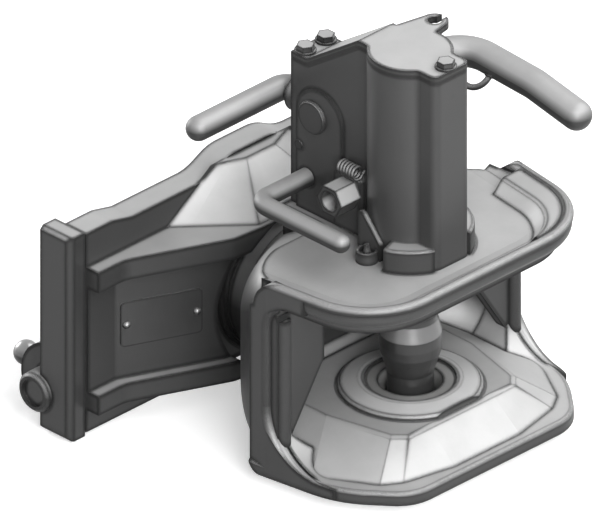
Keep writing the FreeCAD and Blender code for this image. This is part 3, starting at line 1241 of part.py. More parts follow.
def make_release_pawl():
    """Pawl on the release shaft that points at the catch of the fork."""
    hub = cylinder_y(PAWL_HUB_RADIUS, -PAWL_HALF_WIDTH, PAWL_HALF_WIDTH)
    finger = extruded([
        (-PAWL_HUB_RADIUS + 1, 0, 0), (PAWL_HUB_RADIUS - 1, 0, 0),
        (PAWL_TIP_HALF, PAWL_REACH, 1.5), (-PAWL_TIP_HALF, PAWL_REACH, 1.5),
    ], in_side_view(-PAWL_HALF_WIDTH), Y_DIR * (2 * PAWL_HALF_WIDTH))
    pawl = fused(hub, finger).cut(cylinder_y(RELEASE_RADIUS, -30, 30))
    pawl.rotate(ORIGIN, Y_DIR, PAWL_LEAN_DEG)
    pawl.translate(point(RELEASE_X, 0, RELEASE_Z))
    return pawl


# Rear handle

def rear_groove_x():
    return HOUSING_BACK_X - REAR_BOSS_LENGTH / 2


def rear_pin_y():
    return REAR_GROOVE_RADIUS + REAR_PIN_RADIUS + 0.1


def make_rear_handle():
    """Straight grip behind the housing, bent forward into a stub that turns in the rear boss."""
    grip_end = point(REAR_HANDLE_X, REAR_HANDLE_END_Y, REAR_HANDLE_Z)
    elbow = point(REAR_HANDLE_X, 0, REAR_HANDLE_Z)
    stub_end = point(REAR_STUB_END_X - 0.5, 0, REAR_HANDLE_Z)
    bar = rod([grip_end, elbow, stub_end], [REAR_HANDLE_RADIUS + 0.6], REAR_HANDLE_RADIUS)
    bar = fused(bar, Part.makeSphere(REAR_HANDLE_RADIUS, grip_end))
    x0 = rear_groove_x() - REAR_GROOVE_WIDTH / 2
    x1 = rear_groove_x() + REAR_GROOVE_WIDTH / 2
    groove = cylinder_x(REAR_HANDLE_RADIUS + 1, x0, x1, 0, REAR_HANDLE_Z)
    groove = groove.cut(cylinder_x(REAR_GROOVE_RADIUS, x0, x1, 0, REAR_HANDLE_Z))
    return bar.cut(groove)


def make_rear_handle_pin():
    return cylinder_z(REAR_PIN_RADIUS, REAR_HANDLE_Z - 10.5, REAR_HANDLE_Z + 10.5, rear_groove_x(), rear_pin_y())


# Fittings on the near side

def bracket_face_y():
    return -HOUSING_HALF_WIDTH - ARCH_RISE


def make_cable_bracket():
    """Plate on the housing's near side with a bevelled top."""
    y0 = bracket_face_y() - BRACKET_THICKNESS
    plate = extruded([
        (BRACKET_BACK_X, HOUSING_BOTTOM_Z + 3, 0), (BRACKET_FRONT_X, HOUSING_BOTTOM_Z + 3, 0),
        (BRACKET_FRONT_X, BRACKET_TOP_Z, 3.0), (BRACKET_BACK_X, BRACKET_TOP_Z, 3.0),
    ], in_side_view(y0), Y_DIR * (-HOUSING_HALF_WIDTH - y0))
    arch_side = block(ARCH_CENTRE_X - 40, ARCH_CENTRE_X + ARCH_RADIUS, -HOUSING_HALF_WIDTH - ARCH_RISE,
                      -HOUSING_HALF_WIDTH + 1, HOUSING_BOTTOM_Z, LEVER_Z)
    plate = plate.cut(arch_side)
    return plate.cut(cylinder_y(SLEEVE_BORE_RADIUS, y0 - 1, y0 + 2, SLEEVE_X, SLEEVE_Z))


def make_hex_sleeve():
    """Hexagonal sleeve for a remote cable, with an open round bore."""
    end = bracket_face_y() - BRACKET_THICKNESS
    body = extruded(hexagon_corners(SLEEVE_FLATS), in_side_view(0), Y_DIR * SLEEVE_LENGTH)
    body.translate(point(SLEEVE_X, end - SLEEVE_LENGTH, SLEEVE_Z))
    return body.cut(cylinder_y(SLEEVE_BORE_RADIUS, end - SLEEVE_LENGTH - 1, end - 3, SLEEVE_X, SLEEVE_Z))


def make_pin_grease_cup():
    """Grease cup on the upper jaw with a guard fin behind it."""
    cup = cylinder_z(CUP_RADIUS, UPPER_FLOOR_Z, CUP_TOP_Z, CUP_X, CUP_Y)
    cup = cup.cut(cylinder_z(CUP_RADIUS - 2, CUP_TOP_Z - 3, CUP_TOP_Z + 1, CUP_X, CUP_Y))
    nipple = Part.makeCone(2.6, 1.6, 7.0, point(CUP_X, CUP_Y, CUP_TOP_Z - 3), Z_DIR)
    fin = extruded([
        (CUP_X - 12, UPPER_FLOOR_Z, 0), (CUP_X + 7, UPPER_FLOOR_Z, 0), (CUP_X + 7, CUP_TOP_Z + 4, 3.0),
        (CUP_X - 8, FIN_TOP_Z, 3.0), (CUP_X - 12, FIN_TOP_Z, 2.0),
    ], in_side_view(CUP_Y + CUP_RADIUS - FIN_THICKNESS), Y_DIR * FIN_THICKNESS)
    return fused(cup, nipple, fin)


def build_parts():
    """Every node with its name."""
    jaw = make_jaw_casting()
    return {
        "slider_casting": make_slider_casting(),
        "left_guide_rail": make_guide_rail(-1),
        "right_guide_rail": make_guide_rail(1),
        "data_plate": make_data_plate(),
        "plate_rivets": make_plate_rivets(),
        "front_neck_bush": make_neck_bush(NECK_FACE_X - BUSH_LENGTH),
        "rear_neck_bush": make_neck_bush(CASTING_BACK_X),
        "thrust_washer": make_thrust_washer(),
        "left_lock_bolt": make_lock_bolt(-1),
        "right_lock_bolt": make_lock_bolt(1),
        "left_bolt_handle": make_bolt_handle(-1),
        "right_bolt_handle": make_bolt_handle(1),
        "left_bolt_spring": make_bolt_spring(-1),
        "right_bolt_spring": make_bolt_spring(1),
        "jaw_casting": jaw,
        "retaining_washer": make_retaining_washer(),
        "castle_nut": make_castle_nut(),
        "split_pin": make_split_pin(),
        "left_side_guard": make_side_guard(-1, jaw),
        "right_side_guard": make_side_guard(1, jaw),
        "wear_ring": make_wear_ring(),
        "lower_bush": make_lower_bush(),
        "guide_bush": make_guide_bush(),
        "coupling_pin": make_coupling_pin(),
        "mechanism_housing": make_mechanism_housing(),
        "housing_cover": make_housing_cover(),
        "cover_bolts": make_cover_bolts(),
        "roll_pin": make_roll_pin(),
        "lift_fork": make_lift_fork(),
        "closing_spring": make_closing_spring(),
        "lift_shaft": make_lift_shaft(),
        "shaft_cap": make_shaft_cap(),
        "lift_handle": make_lift_handle(),
        "rope_eye": make_rope_eye(),
        "release_handle": make_release_handle(),
        "release_pawl": make_release_pawl(),
        "rear_handle": make_rear_handle(),
        "rear_handle_pin": make_rear_handle_pin(),
        "cable_bracket": make_cable_bracket(),
        "hex_sleeve": make_hex_sleeve(),
        "pin_grease_cup": make_pin_grease_cup(),
    }


os.makedirs("parts", exist_ok=True)
for name, shape in build_parts().items():
    solids = len(shape.Solids)
    print(name, "solids", solids, "valid", shape.isValid(), "volume", round(shape.Volume))
    shape.exportStep("parts/" + name + ".step")
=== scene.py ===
import math

import bmesh
import bpy
from mathutils import Matrix, Vector


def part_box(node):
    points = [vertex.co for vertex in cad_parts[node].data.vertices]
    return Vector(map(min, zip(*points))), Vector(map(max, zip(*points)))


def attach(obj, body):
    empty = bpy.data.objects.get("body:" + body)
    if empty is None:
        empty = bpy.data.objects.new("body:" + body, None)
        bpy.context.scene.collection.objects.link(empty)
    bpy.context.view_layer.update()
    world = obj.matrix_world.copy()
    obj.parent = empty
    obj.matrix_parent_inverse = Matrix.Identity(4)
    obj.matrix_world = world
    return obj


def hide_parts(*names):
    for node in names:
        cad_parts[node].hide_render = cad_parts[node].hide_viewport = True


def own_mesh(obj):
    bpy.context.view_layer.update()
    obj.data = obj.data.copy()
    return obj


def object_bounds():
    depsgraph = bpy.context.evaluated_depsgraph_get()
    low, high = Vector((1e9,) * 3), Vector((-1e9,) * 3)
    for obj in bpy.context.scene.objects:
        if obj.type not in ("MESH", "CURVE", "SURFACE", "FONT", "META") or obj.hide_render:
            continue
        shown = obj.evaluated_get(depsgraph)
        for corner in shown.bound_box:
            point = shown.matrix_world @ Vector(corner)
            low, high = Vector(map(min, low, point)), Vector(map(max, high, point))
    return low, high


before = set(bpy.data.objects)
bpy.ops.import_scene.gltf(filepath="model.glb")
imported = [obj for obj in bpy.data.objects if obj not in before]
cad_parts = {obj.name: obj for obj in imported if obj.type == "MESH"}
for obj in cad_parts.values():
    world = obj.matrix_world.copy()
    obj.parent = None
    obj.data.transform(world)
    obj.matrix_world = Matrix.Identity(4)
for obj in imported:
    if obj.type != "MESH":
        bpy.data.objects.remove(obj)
CAD_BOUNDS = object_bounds()

bl_info = {
    "name": "Trailer Coupling",
    "version": (1, 0, 0),
    "blender": (4, 5, 0),
    "location": "View3D > Sidebar > Coupling",
    "description": "Finishes and lights a trailer coupling built round its packed frame",
    "category": "Object",
}

# All lengths are in metres

# Camera of the drawing: 45 degrees round, 30 degrees up, no perspective
VIEW_RIGHT = Vector((0.70711, 0.70711, 0.0))
VIEW_UP = Vector((-0.35355, 0.35355, 0.86603))
VIEW_BACK = Vector((0.61237, -0.61237, 0.5))
VIEW_WIDTH = 0.3645
VIEW_ALONG_RIGHT = -0.06707
VIEW_ALONG_UP = 0.05213
VIEW_DISTANCE = 1.6
VIEW_REACH = 20.0

# Floor and world: their pale colour is seen, and their dark one is what lights the part
FLOOR_Z = CAD_BOUNDS[0][2] - 0.0004
FLOOR_HALF_WIDTH = 6.0
FLOOR_PALE = (0.97, 0.97, 0.97, 1.0)
FLOOR_DARK = (0.07, 0.07, 0.07, 1.0)
FLOOR_GLOW = 0.5
FLOOR_ROUGHNESS = 0.9
FLOOR_SPECULAR = 0.1
WORLD_DARK = (0.05, 0.05, 0.052, 1.0)
WHITE = (1.0, 1.0, 1.0, 1.0)

# Soft round lamps: name, place, target, width, the power that it takes and its share of that
LAMPS = (
    ("key_box", (0.27, 0.62, 0.98), (-0.03, 0.0, 0.05), 1.1, "key_power", 1.0),
    ("side_box", (0.84, -0.32, 0.9), (-0.03, 0.0, 0.05), 1.1, "key_power", 1.0),
    ("front_box", (1.0, -0.72, 0.42), (0.0, 0.0, -0.02), 0.7, "fill_power", 1.0),
    ("back_box", (-1.0, -0.1, 0.25), (-0.05, 0.0, 0.02), 0.5, "fill_power", 0.3),
)

# What all the finishes share; the shades are multiples of a finish's own colour
# Painted shade darkens the sides and painted light brightens the upward faces, as multiples of the
# colour
PAINTED_SIDE_SHADE = 0.14
PAINTED_TOP_LIGHT = 1.27
# Painted shade in sheltered corners: its depth as a multiple of the colour, and how strongly it darkens
CORNER_SHADE_DEPTH = 0.3
CORNER_SHADE_STRENGTH = 0.35
EDGE_STRENGTH = 0.95
EDGE_ROUGHNESS = 0.4
TONE_ROUGHNESS = 0.16
BUMP_STRENGTH = 0.6
METAL_IOR = 1.5
METAL_SPECULAR = 0.3

# Meshes of round wire
WIRE_SIDES = 10
COIL_SIDES = 8
BEAD_STEPS = 96
MERGE_DISTANCE = 0.000001


# Sizes and colours that a user would change

class CouplingColours(bpy.types.PropertyGroup):
    """Colours of the finishes."""
    casting: bpy.props.FloatVectorProperty(
        name="Casting", description="Shot-blasted cast iron of jaw and slider", subtype="COLOR",
        size=3, min=0.0, max=1.0, default=(0.345, 0.345, 0.345))
    housing: bpy.props.FloatVectorProperty(
        name="Housing", description="Smooth casting of the lift mechanism", subtype="COLOR",
        size=3, min=0.0, max=1.0, default=(0.355, 0.355, 0.355))
    bar: bpy.props.FloatVectorProperty(
        name="Bar", description="Drawn round bar of the handles", subtype="COLOR",
        size=3, min=0.0, max=1.0, default=(0.26, 0.26, 0.26))
    pin: bpy.props.FloatVectorProperty(
        name="Pin", description="Ground and hardened steel", subtype="COLOR",
        size=3, min=0.0, max=1.0, default=(0.3, 0.3, 0.3))
    plate: bpy.props.FloatVectorProperty(
        name="Plate", description="Rolled plate", subtype="COLOR",
        size=3, min=0.0, max=1.0, default=(0.33, 0.33, 0.33))
    bush: bpy.props.FloatVectorProperty(
        name="Bush", description="Dull bearing metal", subtype="COLOR",
        size=3, min=0.0, max=1.0, default=(0.33, 0.33, 0.325))
    dark: bpy.props.FloatVectorProperty(
        name="Dark steel", description="Oiled springs and forged parts", subtype="COLOR",
        size=3, min=0.0, max=1.0, default=(0.2, 0.2, 0.2))
    edge: bpy.props.FloatVectorProperty(
        name="Edge", description="Dark line along edges and in corners", subtype="COLOR",
        size=3, min=0.0, max=1.0, default=(0.02, 0.02, 0.02))


class CouplingSizes(bpy.types.PropertyGroup):
    """Sizes of the surface detail and the studio."""
    edge_width: bpy.props.FloatProperty(
        name="Edge width", description="Width of the dark line along an edge", unit="LENGTH",
        default=0.0042, min=0.0, max=0.01, precision=5)
    grain: bpy.props.FloatProperty(
        name="Casting grain", description="Grains of the cast skin to a metre",
        default=420.0, min=1.0, max=5000.0)
    key_power: bpy.props.FloatProperty(
        name="Key lights", description="Power of each of the two soft boxes overhead, in watts",
        default=12.0, min=0.0, max=500.0)
    fill_power: bpy.props.FloatProperty(
        name="Fill light",
        description="Power of the front soft box, in watts, of which the back one has a share",
        default=14.0, min=0.0, max=500.0)


# Shader node helpers

def node_group(name, inputs, outputs):
    """New node group with float or vector sockets; returns the tree and its two end nodes."""
    tree = bpy.data.node_groups.new(name, "ShaderNodeTree")
    for socket, kind, value in inputs:
        made = tree.interface.new_socket(
            name=socket, in_out="INPUT", socket_type="NodeSocket" + kind)
        if value is not None:
            made.default_value = value
    for socket, kind in outputs:
        tree.interface.new_socket(name=socket, in_out="OUTPUT", socket_type="NodeSocket" + kind)
    return tree, tree.nodes.new("NodeGroupInput"), tree.nodes.new("NodeGroupOutput")


def set_or_link(tree, socket, value):
    """Links a socket to another one, or gives it a number or a colour."""
    if isinstance(value, bpy.types.NodeSocket):
        tree.links.new(value, socket)
    else:
        socket.default_value = value


def math_node(tree, operation, first, second, clamp=False):
    """Result of one sum on two sockets or numbers."""
    node = tree.nodes.new("ShaderNodeMath")
    node.operation = operation
    node.use_clamp = clamp
    for socket, value in zip(node.inputs, (first, second)):
        set_or_link(tree, socket, value)
    return node.outputs[0]


def noise(tree, vector, scale, detail=3.0, roughness=0.5):
    """Noise between 0 and 1; the scale is a socket or a number."""
    node = tree.nodes.new("ShaderNodeTexNoise")
    node.inputs["Detail"].default_value = detail
    node.inputs["Roughness"].default_value = roughness
    tree.links.new(vector, node.inputs["Vector"])
    set_or_link(tree, node.inputs["Scale"], scale)
    return node.outputs["Fac"]


def mixed(tree, factor, first, second):
    """Colour mix; an argument is a socket or a value."""
    node = tree.nodes.new("ShaderNodeMix")
    node.data_type = "RGBA"
    for key, value in (("Factor", factor), ("A", first), ("B", second)):
        set_or_link(tree, node.inputs[key], value)
    return node.outputs["Result"]


def opaque(colour):
    return (colour[0], colour[1], colour[2], 1.0)


def lighter(colour, factor):
    return tuple(min(1.0, channel * factor) for channel in colour)


def toned(tree, tone, colour, shade, contrast):
    """A shade of the colour that goes darker and lighter by the contrast with the tone."""
    darkest = opaque(lighter(colour, shade * (1.0 - contrast)))
    palest = opaque(lighter(colour, shade * (1.0 + contrast)))
    return mixed(tree, tone, darkest, palest)


# Effects that several finishes use

def make_edge_group():
    """Mask of edges and inner corners: where a rounded normal leaves the true one."""
    gain = 80.0
    threshold = 0.4
    tree, start, end = node_group(
        "edge_line", [("Width", "Float", 0.0006), ("Strength", "Float", 1.0)], [("Mask", "Float")])
    bevel = tree.nodes.new("ShaderNodeBevel")
    bevel.samples = 6
    tree.links.new(start.outputs["Width"], bevel.inputs["Radius"])
    geometry = tree.nodes.new("ShaderNodeNewGeometry")
    dot = tree.nodes.new("ShaderNodeVectorMath")
    dot.operation = "DOT_PRODUCT"
    tree.links.new(bevel.outputs[0], dot.inputs[0])
    tree.links.new(geometry.outputs["Normal"], dot.inputs[1])
    away = math_node(tree, "SUBTRACT", 1.0, dot.outputs["Value"])
    scaled = math_node(tree, "MULTIPLY", away, gain)
    above = math_node(tree, "SUBTRACT", scaled, threshold, clamp=True)
    mask = math_node(tree, "MULTIPLY", above, start.outputs["Strength"], clamp=True)
    tree.links.new(mask, end.inputs["Mask"])
    return tree


def make_cast_skin_group():
    """Skin of a sand casting: fine grain, soft swells and a faint mottle of tone."""
    swell_to_grain = 0.12
    mottle_to_grain = 0.04
    fine_tone = 0.35
    mottle_tone = 0.65
    tree, start, end = node_group(
        "cast_skin", [("Vector", "Vector", None), ("Grain", "Float", 420.0)],
        [("Tone", "Float"), ("Height", "Float")])
    place = start.outputs["Vector"]
    grain = start.outputs["Grain"]
    fine = noise(tree, place, grain, detail=4.0, roughness=0.6)
    swell = noise(tree, place, math_node(tree, "MULTIPLY", grain, swell_to_grain), detail=2.0)
    mottle = noise(tree, place, math_node(tree, "MULTIPLY", grain, mottle_to_grain))
    fine_part = math_node(tree, "MULTIPLY", fine, fine_tone)
    mottle_part = math_node(tree, "MULTIPLY", mottle, mottle_tone)
    tree.links.new(math_node(tree, "ADD", fine_part, mottle_part), end.inputs["Tone"])
    tree.links.new(math_node(tree, "ADD", fine, swell), end.inputs["Height"])
    return tree


def make_tool_marks_group():
    """Fine lines left by a tool, along the direction that Stretch leaves long."""
    cloud_to_lines = 0.04
    lines_tone = 0.5
    cloud_tone = 0.5
    tree, start, end = node_group(
        "tool_marks",
        [("Vector", "Vector", None), ("Stretch", "Vector", (1.0, 1.0, 1.0)), ("Scale", "Float", 900.0)],
        [("Tone", "Float"), ("Height", "Float")])
    place = start.outputs["Vector"]
    scale = start.outputs["Scale"]
    stretched = tree.nodes.new("ShaderNodeVectorMath")
    stretched.operation = "MULTIPLY"
    tree.links.new(place, stretched.inputs[0])
    tree.links.new(start.outputs["Stretch"], stretched.inputs[1])
    lines = noise(tree, stretched.outputs[0], scale, detail=2.0, roughness=0.7)
    cloud = noise(tree, place, math_node(tree, "MULTIPLY", scale, cloud_to_lines), detail=2.0)
    lines_part = math_node(tree, "MULTIPLY", lines, lines_tone)
    cloud_part = math_node(tree, "MULTIPLY", cloud, cloud_tone)
    tree.links.new(math_node(tree, "ADD", lines_part, cloud_part), end.inputs["Tone"])
    tree.links.new(lines, end.inputs["Height"])
    return tree


def make_painted_corner_shade_group():
    """Mask of painted shade in sheltered corners, broken up by noise."""
    patch_scale = 160.0
    patch_lift = 0.35
    tree, start, end = node_group(
        "painted_corner_shade", [("Vector", "Vector", None), ("Reach", "Float", 0.006)], [("Mask", "Float")])
    shelter = tree.nodes.new("ShaderNodeAmbientOcclusion")
    shelter.samples = 6
    tree.links.new(start.outputs["Reach"], shelter.inputs["Distance"])
    closed = math_node(tree, "SUBTRACT", 1.0, shelter.outputs["AO"])
    patches = noise(tree, start.outputs["Vector"], patch_scale)
    lifted = math_node(tree, "ADD", patches, patch_lift)
    tree.links.new(math_node(tree, "MULTIPLY", closed, lifted, clamp=True), end.inputs["Mask"])
    return tree


def make_painted_top_light_group():
    """Mask of painted light on surfaces that look up, in the piece's own directions, broken up by
    noise.
    """
    slope_gain = 1.6
    patch_scale = 60.0
    patch_share = 0.22
    patch_lift = 0.86
    tree, start, end = node_group(
        "painted_top_light", [("Vector", "Vector", None), ("Normal", "Vector", None)], [("Mask", "Float")])
    parts = tree.nodes.new("ShaderNodeSeparateXYZ")
    tree.links.new(start.outputs["Normal"], parts.inputs[0])
    upward = math_node(tree, "MULTIPLY", parts.outputs["Z"], slope_gain, clamp=True)
    patches = noise(tree, start.outputs["Vector"], patch_scale, detail=4.0)
    faint = math_node(tree, "MULTIPLY", patches, patch_share)
    share = math_node(tree, "ADD", faint, patch_lift)
    tree.links.new(math_node(tree, "MULTIPLY", upward, share, clamp=True), end.inputs["Mask"])
    return tree


# Built once: node groups by their key, and materials by their name
EFFECTS = {}
MATERIALS = {}


def build_effects():
    if EFFECTS:
        return
    EFFECTS["edge"] = make_edge_group()
    EFFECTS["cast"] = make_cast_skin_group()
    EFFECTS["marks"] = make_tool_marks_group()
    EFFECTS["corner_shade"] = make_painted_corner_shade_group()
    EFFECTS["top_light"] = make_painted_top_light_group()


def placed_effect(tree, key, place=None):
    """Node of an effect, on the piece's own coordinates where it has a pattern."""
    node = tree.nodes.new("ShaderNodeGroup")
    node.node_tree = EFFECTS[key]
    if place is not None:
        tree.links.new(place, node.inputs["Vector"])
    return node


def make_finish(name, colour, roughness, metallic, pattern, grain, stretch=(1.0, 1.0, 1.0),
                relief=0.00006, contrast=0.16, edge_share=1.0):
    """Grey metal with a surface pattern, painted light on upward faces and painted shade on the sides,
    painted shade in its corners and dark edge lines.
    """
    if name in MATERIALS:
        return MATERIALS[name]
    build_effects()
    scene = bpy.context.scene
    material = bpy.data.materials.new(name)
    material.use_nodes = True
    tree = material.node_tree
    shader = tree.nodes["Principled BSDF"]
    shader.inputs["Metallic"].default_value = metallic
    shader.inputs["IOR"].default_value = METAL_IOR
    shader.inputs["Specular IOR Level"].default_value = METAL_SPECULAR
    coordinates = tree.nodes.new("ShaderNodeTexCoord")
    place = coordinates.outputs["Object"]

    skin = placed_effect(tree, pattern, place)
    if pattern == "marks":
        skin.inputs["Stretch"].default_value = stretch
        skin.inputs["Scale"].default_value = grain
    else:
        skin.inputs["Grain"].default_value = grain
    tone = skin.outputs["Tone"]

    # Painted shade on the sides and painted light on upward faces, mixed by the piece's upward normal
    shaded_sides = toned(tree, tone, colour, PAINTED_SIDE_SHADE, contrast)
    lit_tops = toned(tree, tone, colour, PAINTED_TOP_LIGHT, contrast / 2)
    top_light = placed_effect(tree, "top_light", place)
    tree.links.new(coordinates.outputs["Normal"], top_light.inputs["Normal"])
    base = mixed(tree, top_light.outputs["Mask"], shaded_sides, lit_tops)
    # Painted shade in sheltered corners, found by ambient occlusion
    corner_shade = placed_effect(tree, "corner_shade", place)
    corner_shade_share = math_node(tree, "MULTIPLY", corner_shade.outputs["Mask"], CORNER_SHADE_STRENGTH)
    corner_shaded = mixed(tree, corner_shade_share, base, opaque(lighter(colour, CORNER_SHADE_DEPTH)))
    edge = placed_effect(tree, "edge")
    edge.inputs["Width"].default_value = scene.coupling_sizes.edge_width * edge_share
    edge.inputs["Strength"].default_value = EDGE_STRENGTH
    lined = mixed(tree, edge.outputs["Mask"], corner_shaded, opaque(scene.coupling_colours.edge))
    tree.links.new(lined, shader.inputs["Base Color"])

    spread = math_node(tree, "MULTIPLY", tone, TONE_ROUGHNESS)
    grained = math_node(tree, "ADD", spread, roughness - TONE_ROUGHNESS / 2)
    edge_rough = math_node(tree, "MULTIPLY", edge.outputs["Mask"], EDGE_ROUGHNESS)
    tree.links.new(math_node(tree, "ADD", grained, edge_rough, clamp=True), shader.inputs["Roughness"])
    bump = tree.nodes.new("ShaderNodeBump")
    bump.inputs["Strength"].default_value = BUMP_STRENGTH
    bump.inputs["Distance"].default_value = relief
    tree.links.new(skin.outputs["Height"], bump.inputs["Height"])
    tree.links.new(bump.outputs["Normal"], shader.inputs["Normal"])
    MATERIALS[name] = material
    return material


def spring_wire_finish(colours):
    """Dark drawn wire of all the springs."""
    return make_finish("spring_wire", colours.dark, roughness=0.5, metallic=0.3, pattern="marks",
                       grain=1500.0, relief=0.00001, edge_share=0.1)


def plated_finish(colours):
    """Plated steel of the fasteners."""
    return make_finish("plated_steel", lighter(colours.bar, 1.3), roughness=0.32, metallic=0.5,
                       pattern="cast", grain=1500.0, relief=0.00001, contrast=0.08, edge_share=0.35)


def give_finish(nodes, material):
    """Puts one material on CAD nodes."""
    for node in nodes:
        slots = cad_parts[node].data.materials
        slots.clear()
        slots.append(material)


# Mesh helpers for the scene's own pieces

def of_type(items, kind):
    return [item for item in items if isinstance(item, kind)]


def once(items):
    """The items without repeats, in an order that is the same each run."""
    return list(dict.fromkeys(items))


def ends_of(edges):
    return once(vert for edge in edges for vert in edge.verts)


def wire_start(form, place, along, radius, sides=WIRE_SIDES):
    """Open circle across the wire's direction; returns its edges."""
    made = bmesh.ops.create_circle(form, cap_ends=False, segments=sides, radius=radius)
    turn = Vector(along).to_track_quat("Z", "Y").to_matrix().to_4x4()
    bmesh.ops.transform(form, matrix=Matrix.Translation(place) @ turn, verts=made["verts"])
    return once(edge for vert in made["verts"] for edge in vert.link_edges)


def wire_run(form, edges, move):
    """Straight run of the wire; returns the edges of its new end."""
    made = bmesh.ops.extrude_edge_only(form, edges=edges)["geom"]
    bmesh.ops.translate(form, verts=of_type(made, bmesh.types.BMVert), vec=move)
    return of_type(made, bmesh.types.BMEdge)


def wire_bend(form, edges, centre, axis, angle, steps, rise=(0.0, 0.0, 0.0)):
    """Bend or coil of the wire round an axis; rise is the step along it."""
    made = bmesh.ops.spin(form, geom=ends_of(edges) + edges, cent=centre, axis=axis, dvec=rise,
                          angle=angle, steps=steps, use_merge=False)["geom_last"]
    return of_type(made, bmesh.types.BMEdge)


def wire_coil(form, centre, start, axis, climb, wire, turns, steps_a_turn):
    """Coil that starts beside its centre with the wire upright and climbs along its axis."""
    steps = turns * steps_a_turn
    edges = wire_start(form, start, (0.0, 0.0, 1.0), wire, COIL_SIDES)
    wire_bend(form, edges, centre, axis, 2.0 * turns * math.pi, steps, axis * (climb / steps))


def close_ends(form):
    """Fills the open ends of the wire."""
    open_edges = [edge for edge in form.edges if edge.is_boundary]
    bmesh.ops.holes_fill(form, edges=open_edges, sides=0)


def weld_bead_form(centre, axis, radius, bead, ripples):
    """Ring of weld with the ripples of its runs."""
    narrowest = 0.88
    swell = 0.16
    centre = Vector(centre)
    axis = Vector(axis).normalized()
    side = axis.orthogonal().normalized()
    other = axis.cross(side)
    form = bmesh.new()
    edges = wire_start(form, centre + side * radius, other, bead)
    bmesh.ops.spin(form, geom=ends_of(edges) + edges, cent=centre, axis=axis, angle=2.0 * math.pi,
                   steps=BEAD_STEPS, use_merge=True)
    for vert in form.verts:
        spoke = vert.co - centre
        turn = math.atan2(spoke.dot(other), spoke.dot(side))
        heart = centre + (side * math.cos(turn) + other * math.sin(turn)) * radius
        width = narrowest + swell * abs(math.sin(ripples * turn / 2.0))
        vert.co = heart + (vert.co - heart) * width
    return form


def place_piece(name, form, material, body):
    """Turns a form into a smooth piece that rides on a body."""
    bmesh.ops.remove_doubles(form, verts=form.verts, dist=MERGE_DISTANCE)
    bmesh.ops.recalc_face_normals(form, faces=form.faces)
    mesh = bpy.data.meshes.new(name)
    form.to_mesh(mesh)
    form.free()
    mesh.shade_smooth()
    piece = bpy.data.objects.new(name, mesh)
    bpy.context.scene.collection.objects.link(piece)
    mesh.materials.append(material)
    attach(piece, body)
    return piece


# Stage

def seen_directly(tree):
    """1 for camera, glossy and transmission rays, so that metal shows the pale studio too."""
    path = tree.nodes.new("ShaderNodeLightPath")
    glossy = math_node(tree, "MAXIMUM", path.outputs["Is Camera Ray"], path.outputs["Is Glossy Ray"])
    return math_node(tree, "MAXIMUM", glossy, path.outputs["Is Transmission Ray"])


def add_camera(scene):
    data = bpy.data.cameras.new("drawing_camera")
    data.type = "ORTHO"
    data.ortho_scale = VIEW_WIDTH
    data.clip_end = VIEW_REACH
    camera = bpy.data.objects.new("drawing_camera", data)
    turn = Matrix((VIEW_RIGHT, VIEW_UP, VIEW_BACK)).transposed()
    centre = VIEW_RIGHT * VIEW_ALONG_RIGHT + VIEW_UP * VIEW_ALONG_UP
    camera.matrix_world = Matrix.Translation(centre + VIEW_BACK * VIEW_DISTANCE) @ turn.to_4x4()
    scene.collection.objects.link(camera)
    scene.camera = camera


def add_world(scene):
    world = bpy.data.worlds.new("studio")
    world.use_nodes = True
    tree = world.node_tree
    shade = mixed(tree, seen_directly(tree), WORLD_DARK, WHITE)
    tree.links.new(shade, tree.nodes["Background"].inputs["Color"])
    scene.world = world


def floor_paint():
    """Pale paint that keeps the part's shadow and throws little light back at it."""
    paint = bpy.data.materials.new("floor_paint")
    paint.use_nodes = True
    tree = paint.node_tree
    shader = tree.nodes["Principled BSDF"]
    shader.inputs["Roughness"].default_value = FLOOR_ROUGHNESS
    shader.inputs["Specular IOR Level"].default_value = FLOOR_SPECULAR
    shader.inputs["Emission Color"].default_value = WHITE
    seen = seen_directly(tree)
    tree.links.new(mixed(tree, seen, FLOOR_DARK, FLOOR_PALE), shader.inputs["Base Color"])
    glow = math_node(tree, "MULTIPLY", seen, FLOOR_GLOW)
    tree.links.new(glow, shader.inputs["Emission Strength"])
    return paint


def add_floor(scene):
    form = bmesh.new()
    bmesh.ops.create_grid(form, x_segments=1, y_segments=1, size=FLOOR_HALF_WIDTH)
    bmesh.ops.translate(form, verts=form.verts, vec=(0.0, 0.0, FLOOR_Z))
    mesh = bpy.data.meshes.new("floor")
    form.to_mesh(mesh)
    form.free()
    floor = bpy.data.objects.new("floor", mesh)
    scene.collection.objects.link(floor)
    mesh.materials.append(floor_paint())


def add_lamp(scene, name, place, target, width, power):
    data = bpy.data.lights.new(name, "AREA")
    data.shape = "DISK"
    data.size = width
    data.energy = power
    lamp = bpy.data.objects.new(name, data)
    lamp.location = place
    lamp.rotation_euler = (Vector(place) - Vector(target)).to_track_quat("Z", "Y").to_euler()
    scene.collection.objects.link(lamp)


class COUPLING_OT_stage(bpy.types.Operator):
    """Camera, pale floor, world and soft lamps"""
    bl_idname = "coupling.stage"
    bl_label = "Stage"

    def execute(self, context):
        scene = context.scene
        scene.view_settings.view_transform = "Standard"
        add_camera(scene)
        add_world(scene)
        add_floor(scene)
        for name, place, target, width, power, share in LAMPS:
            add_lamp(scene, name, place, target, width, getattr(scene.coupling_sizes, power) * share)
        return {"FINISHED"}


# Finishes of the CAD nodes

class COUPLING_OT_castings(bpy.types.Operator):
    """Shot-blasted skin on jaw and slider, smoother skin on the housing"""
    bl_idname = "coupling.castings"
    bl_label = "Castings"

    def execute(self, context):
        colours = context.scene.coupling_colours
        grain = context.scene.coupling_sizes.grain
        rough = make_finish("shot_blasted_casting", colours.casting, roughness=0.5, metallic=0.35,
                            pattern="cast", grain=grain)
        smooth = make_finish("smooth_casting", colours.housing, roughness=0.46, metallic=0.3,
                             pattern="cast", grain=grain * 1.6, relief=0.00004)
        give_finish(["jaw_casting", "slider_casting"], rough)
        give_finish(["mechanism_housing", "housing_cover"], smooth)
        return {"FINISHED"}


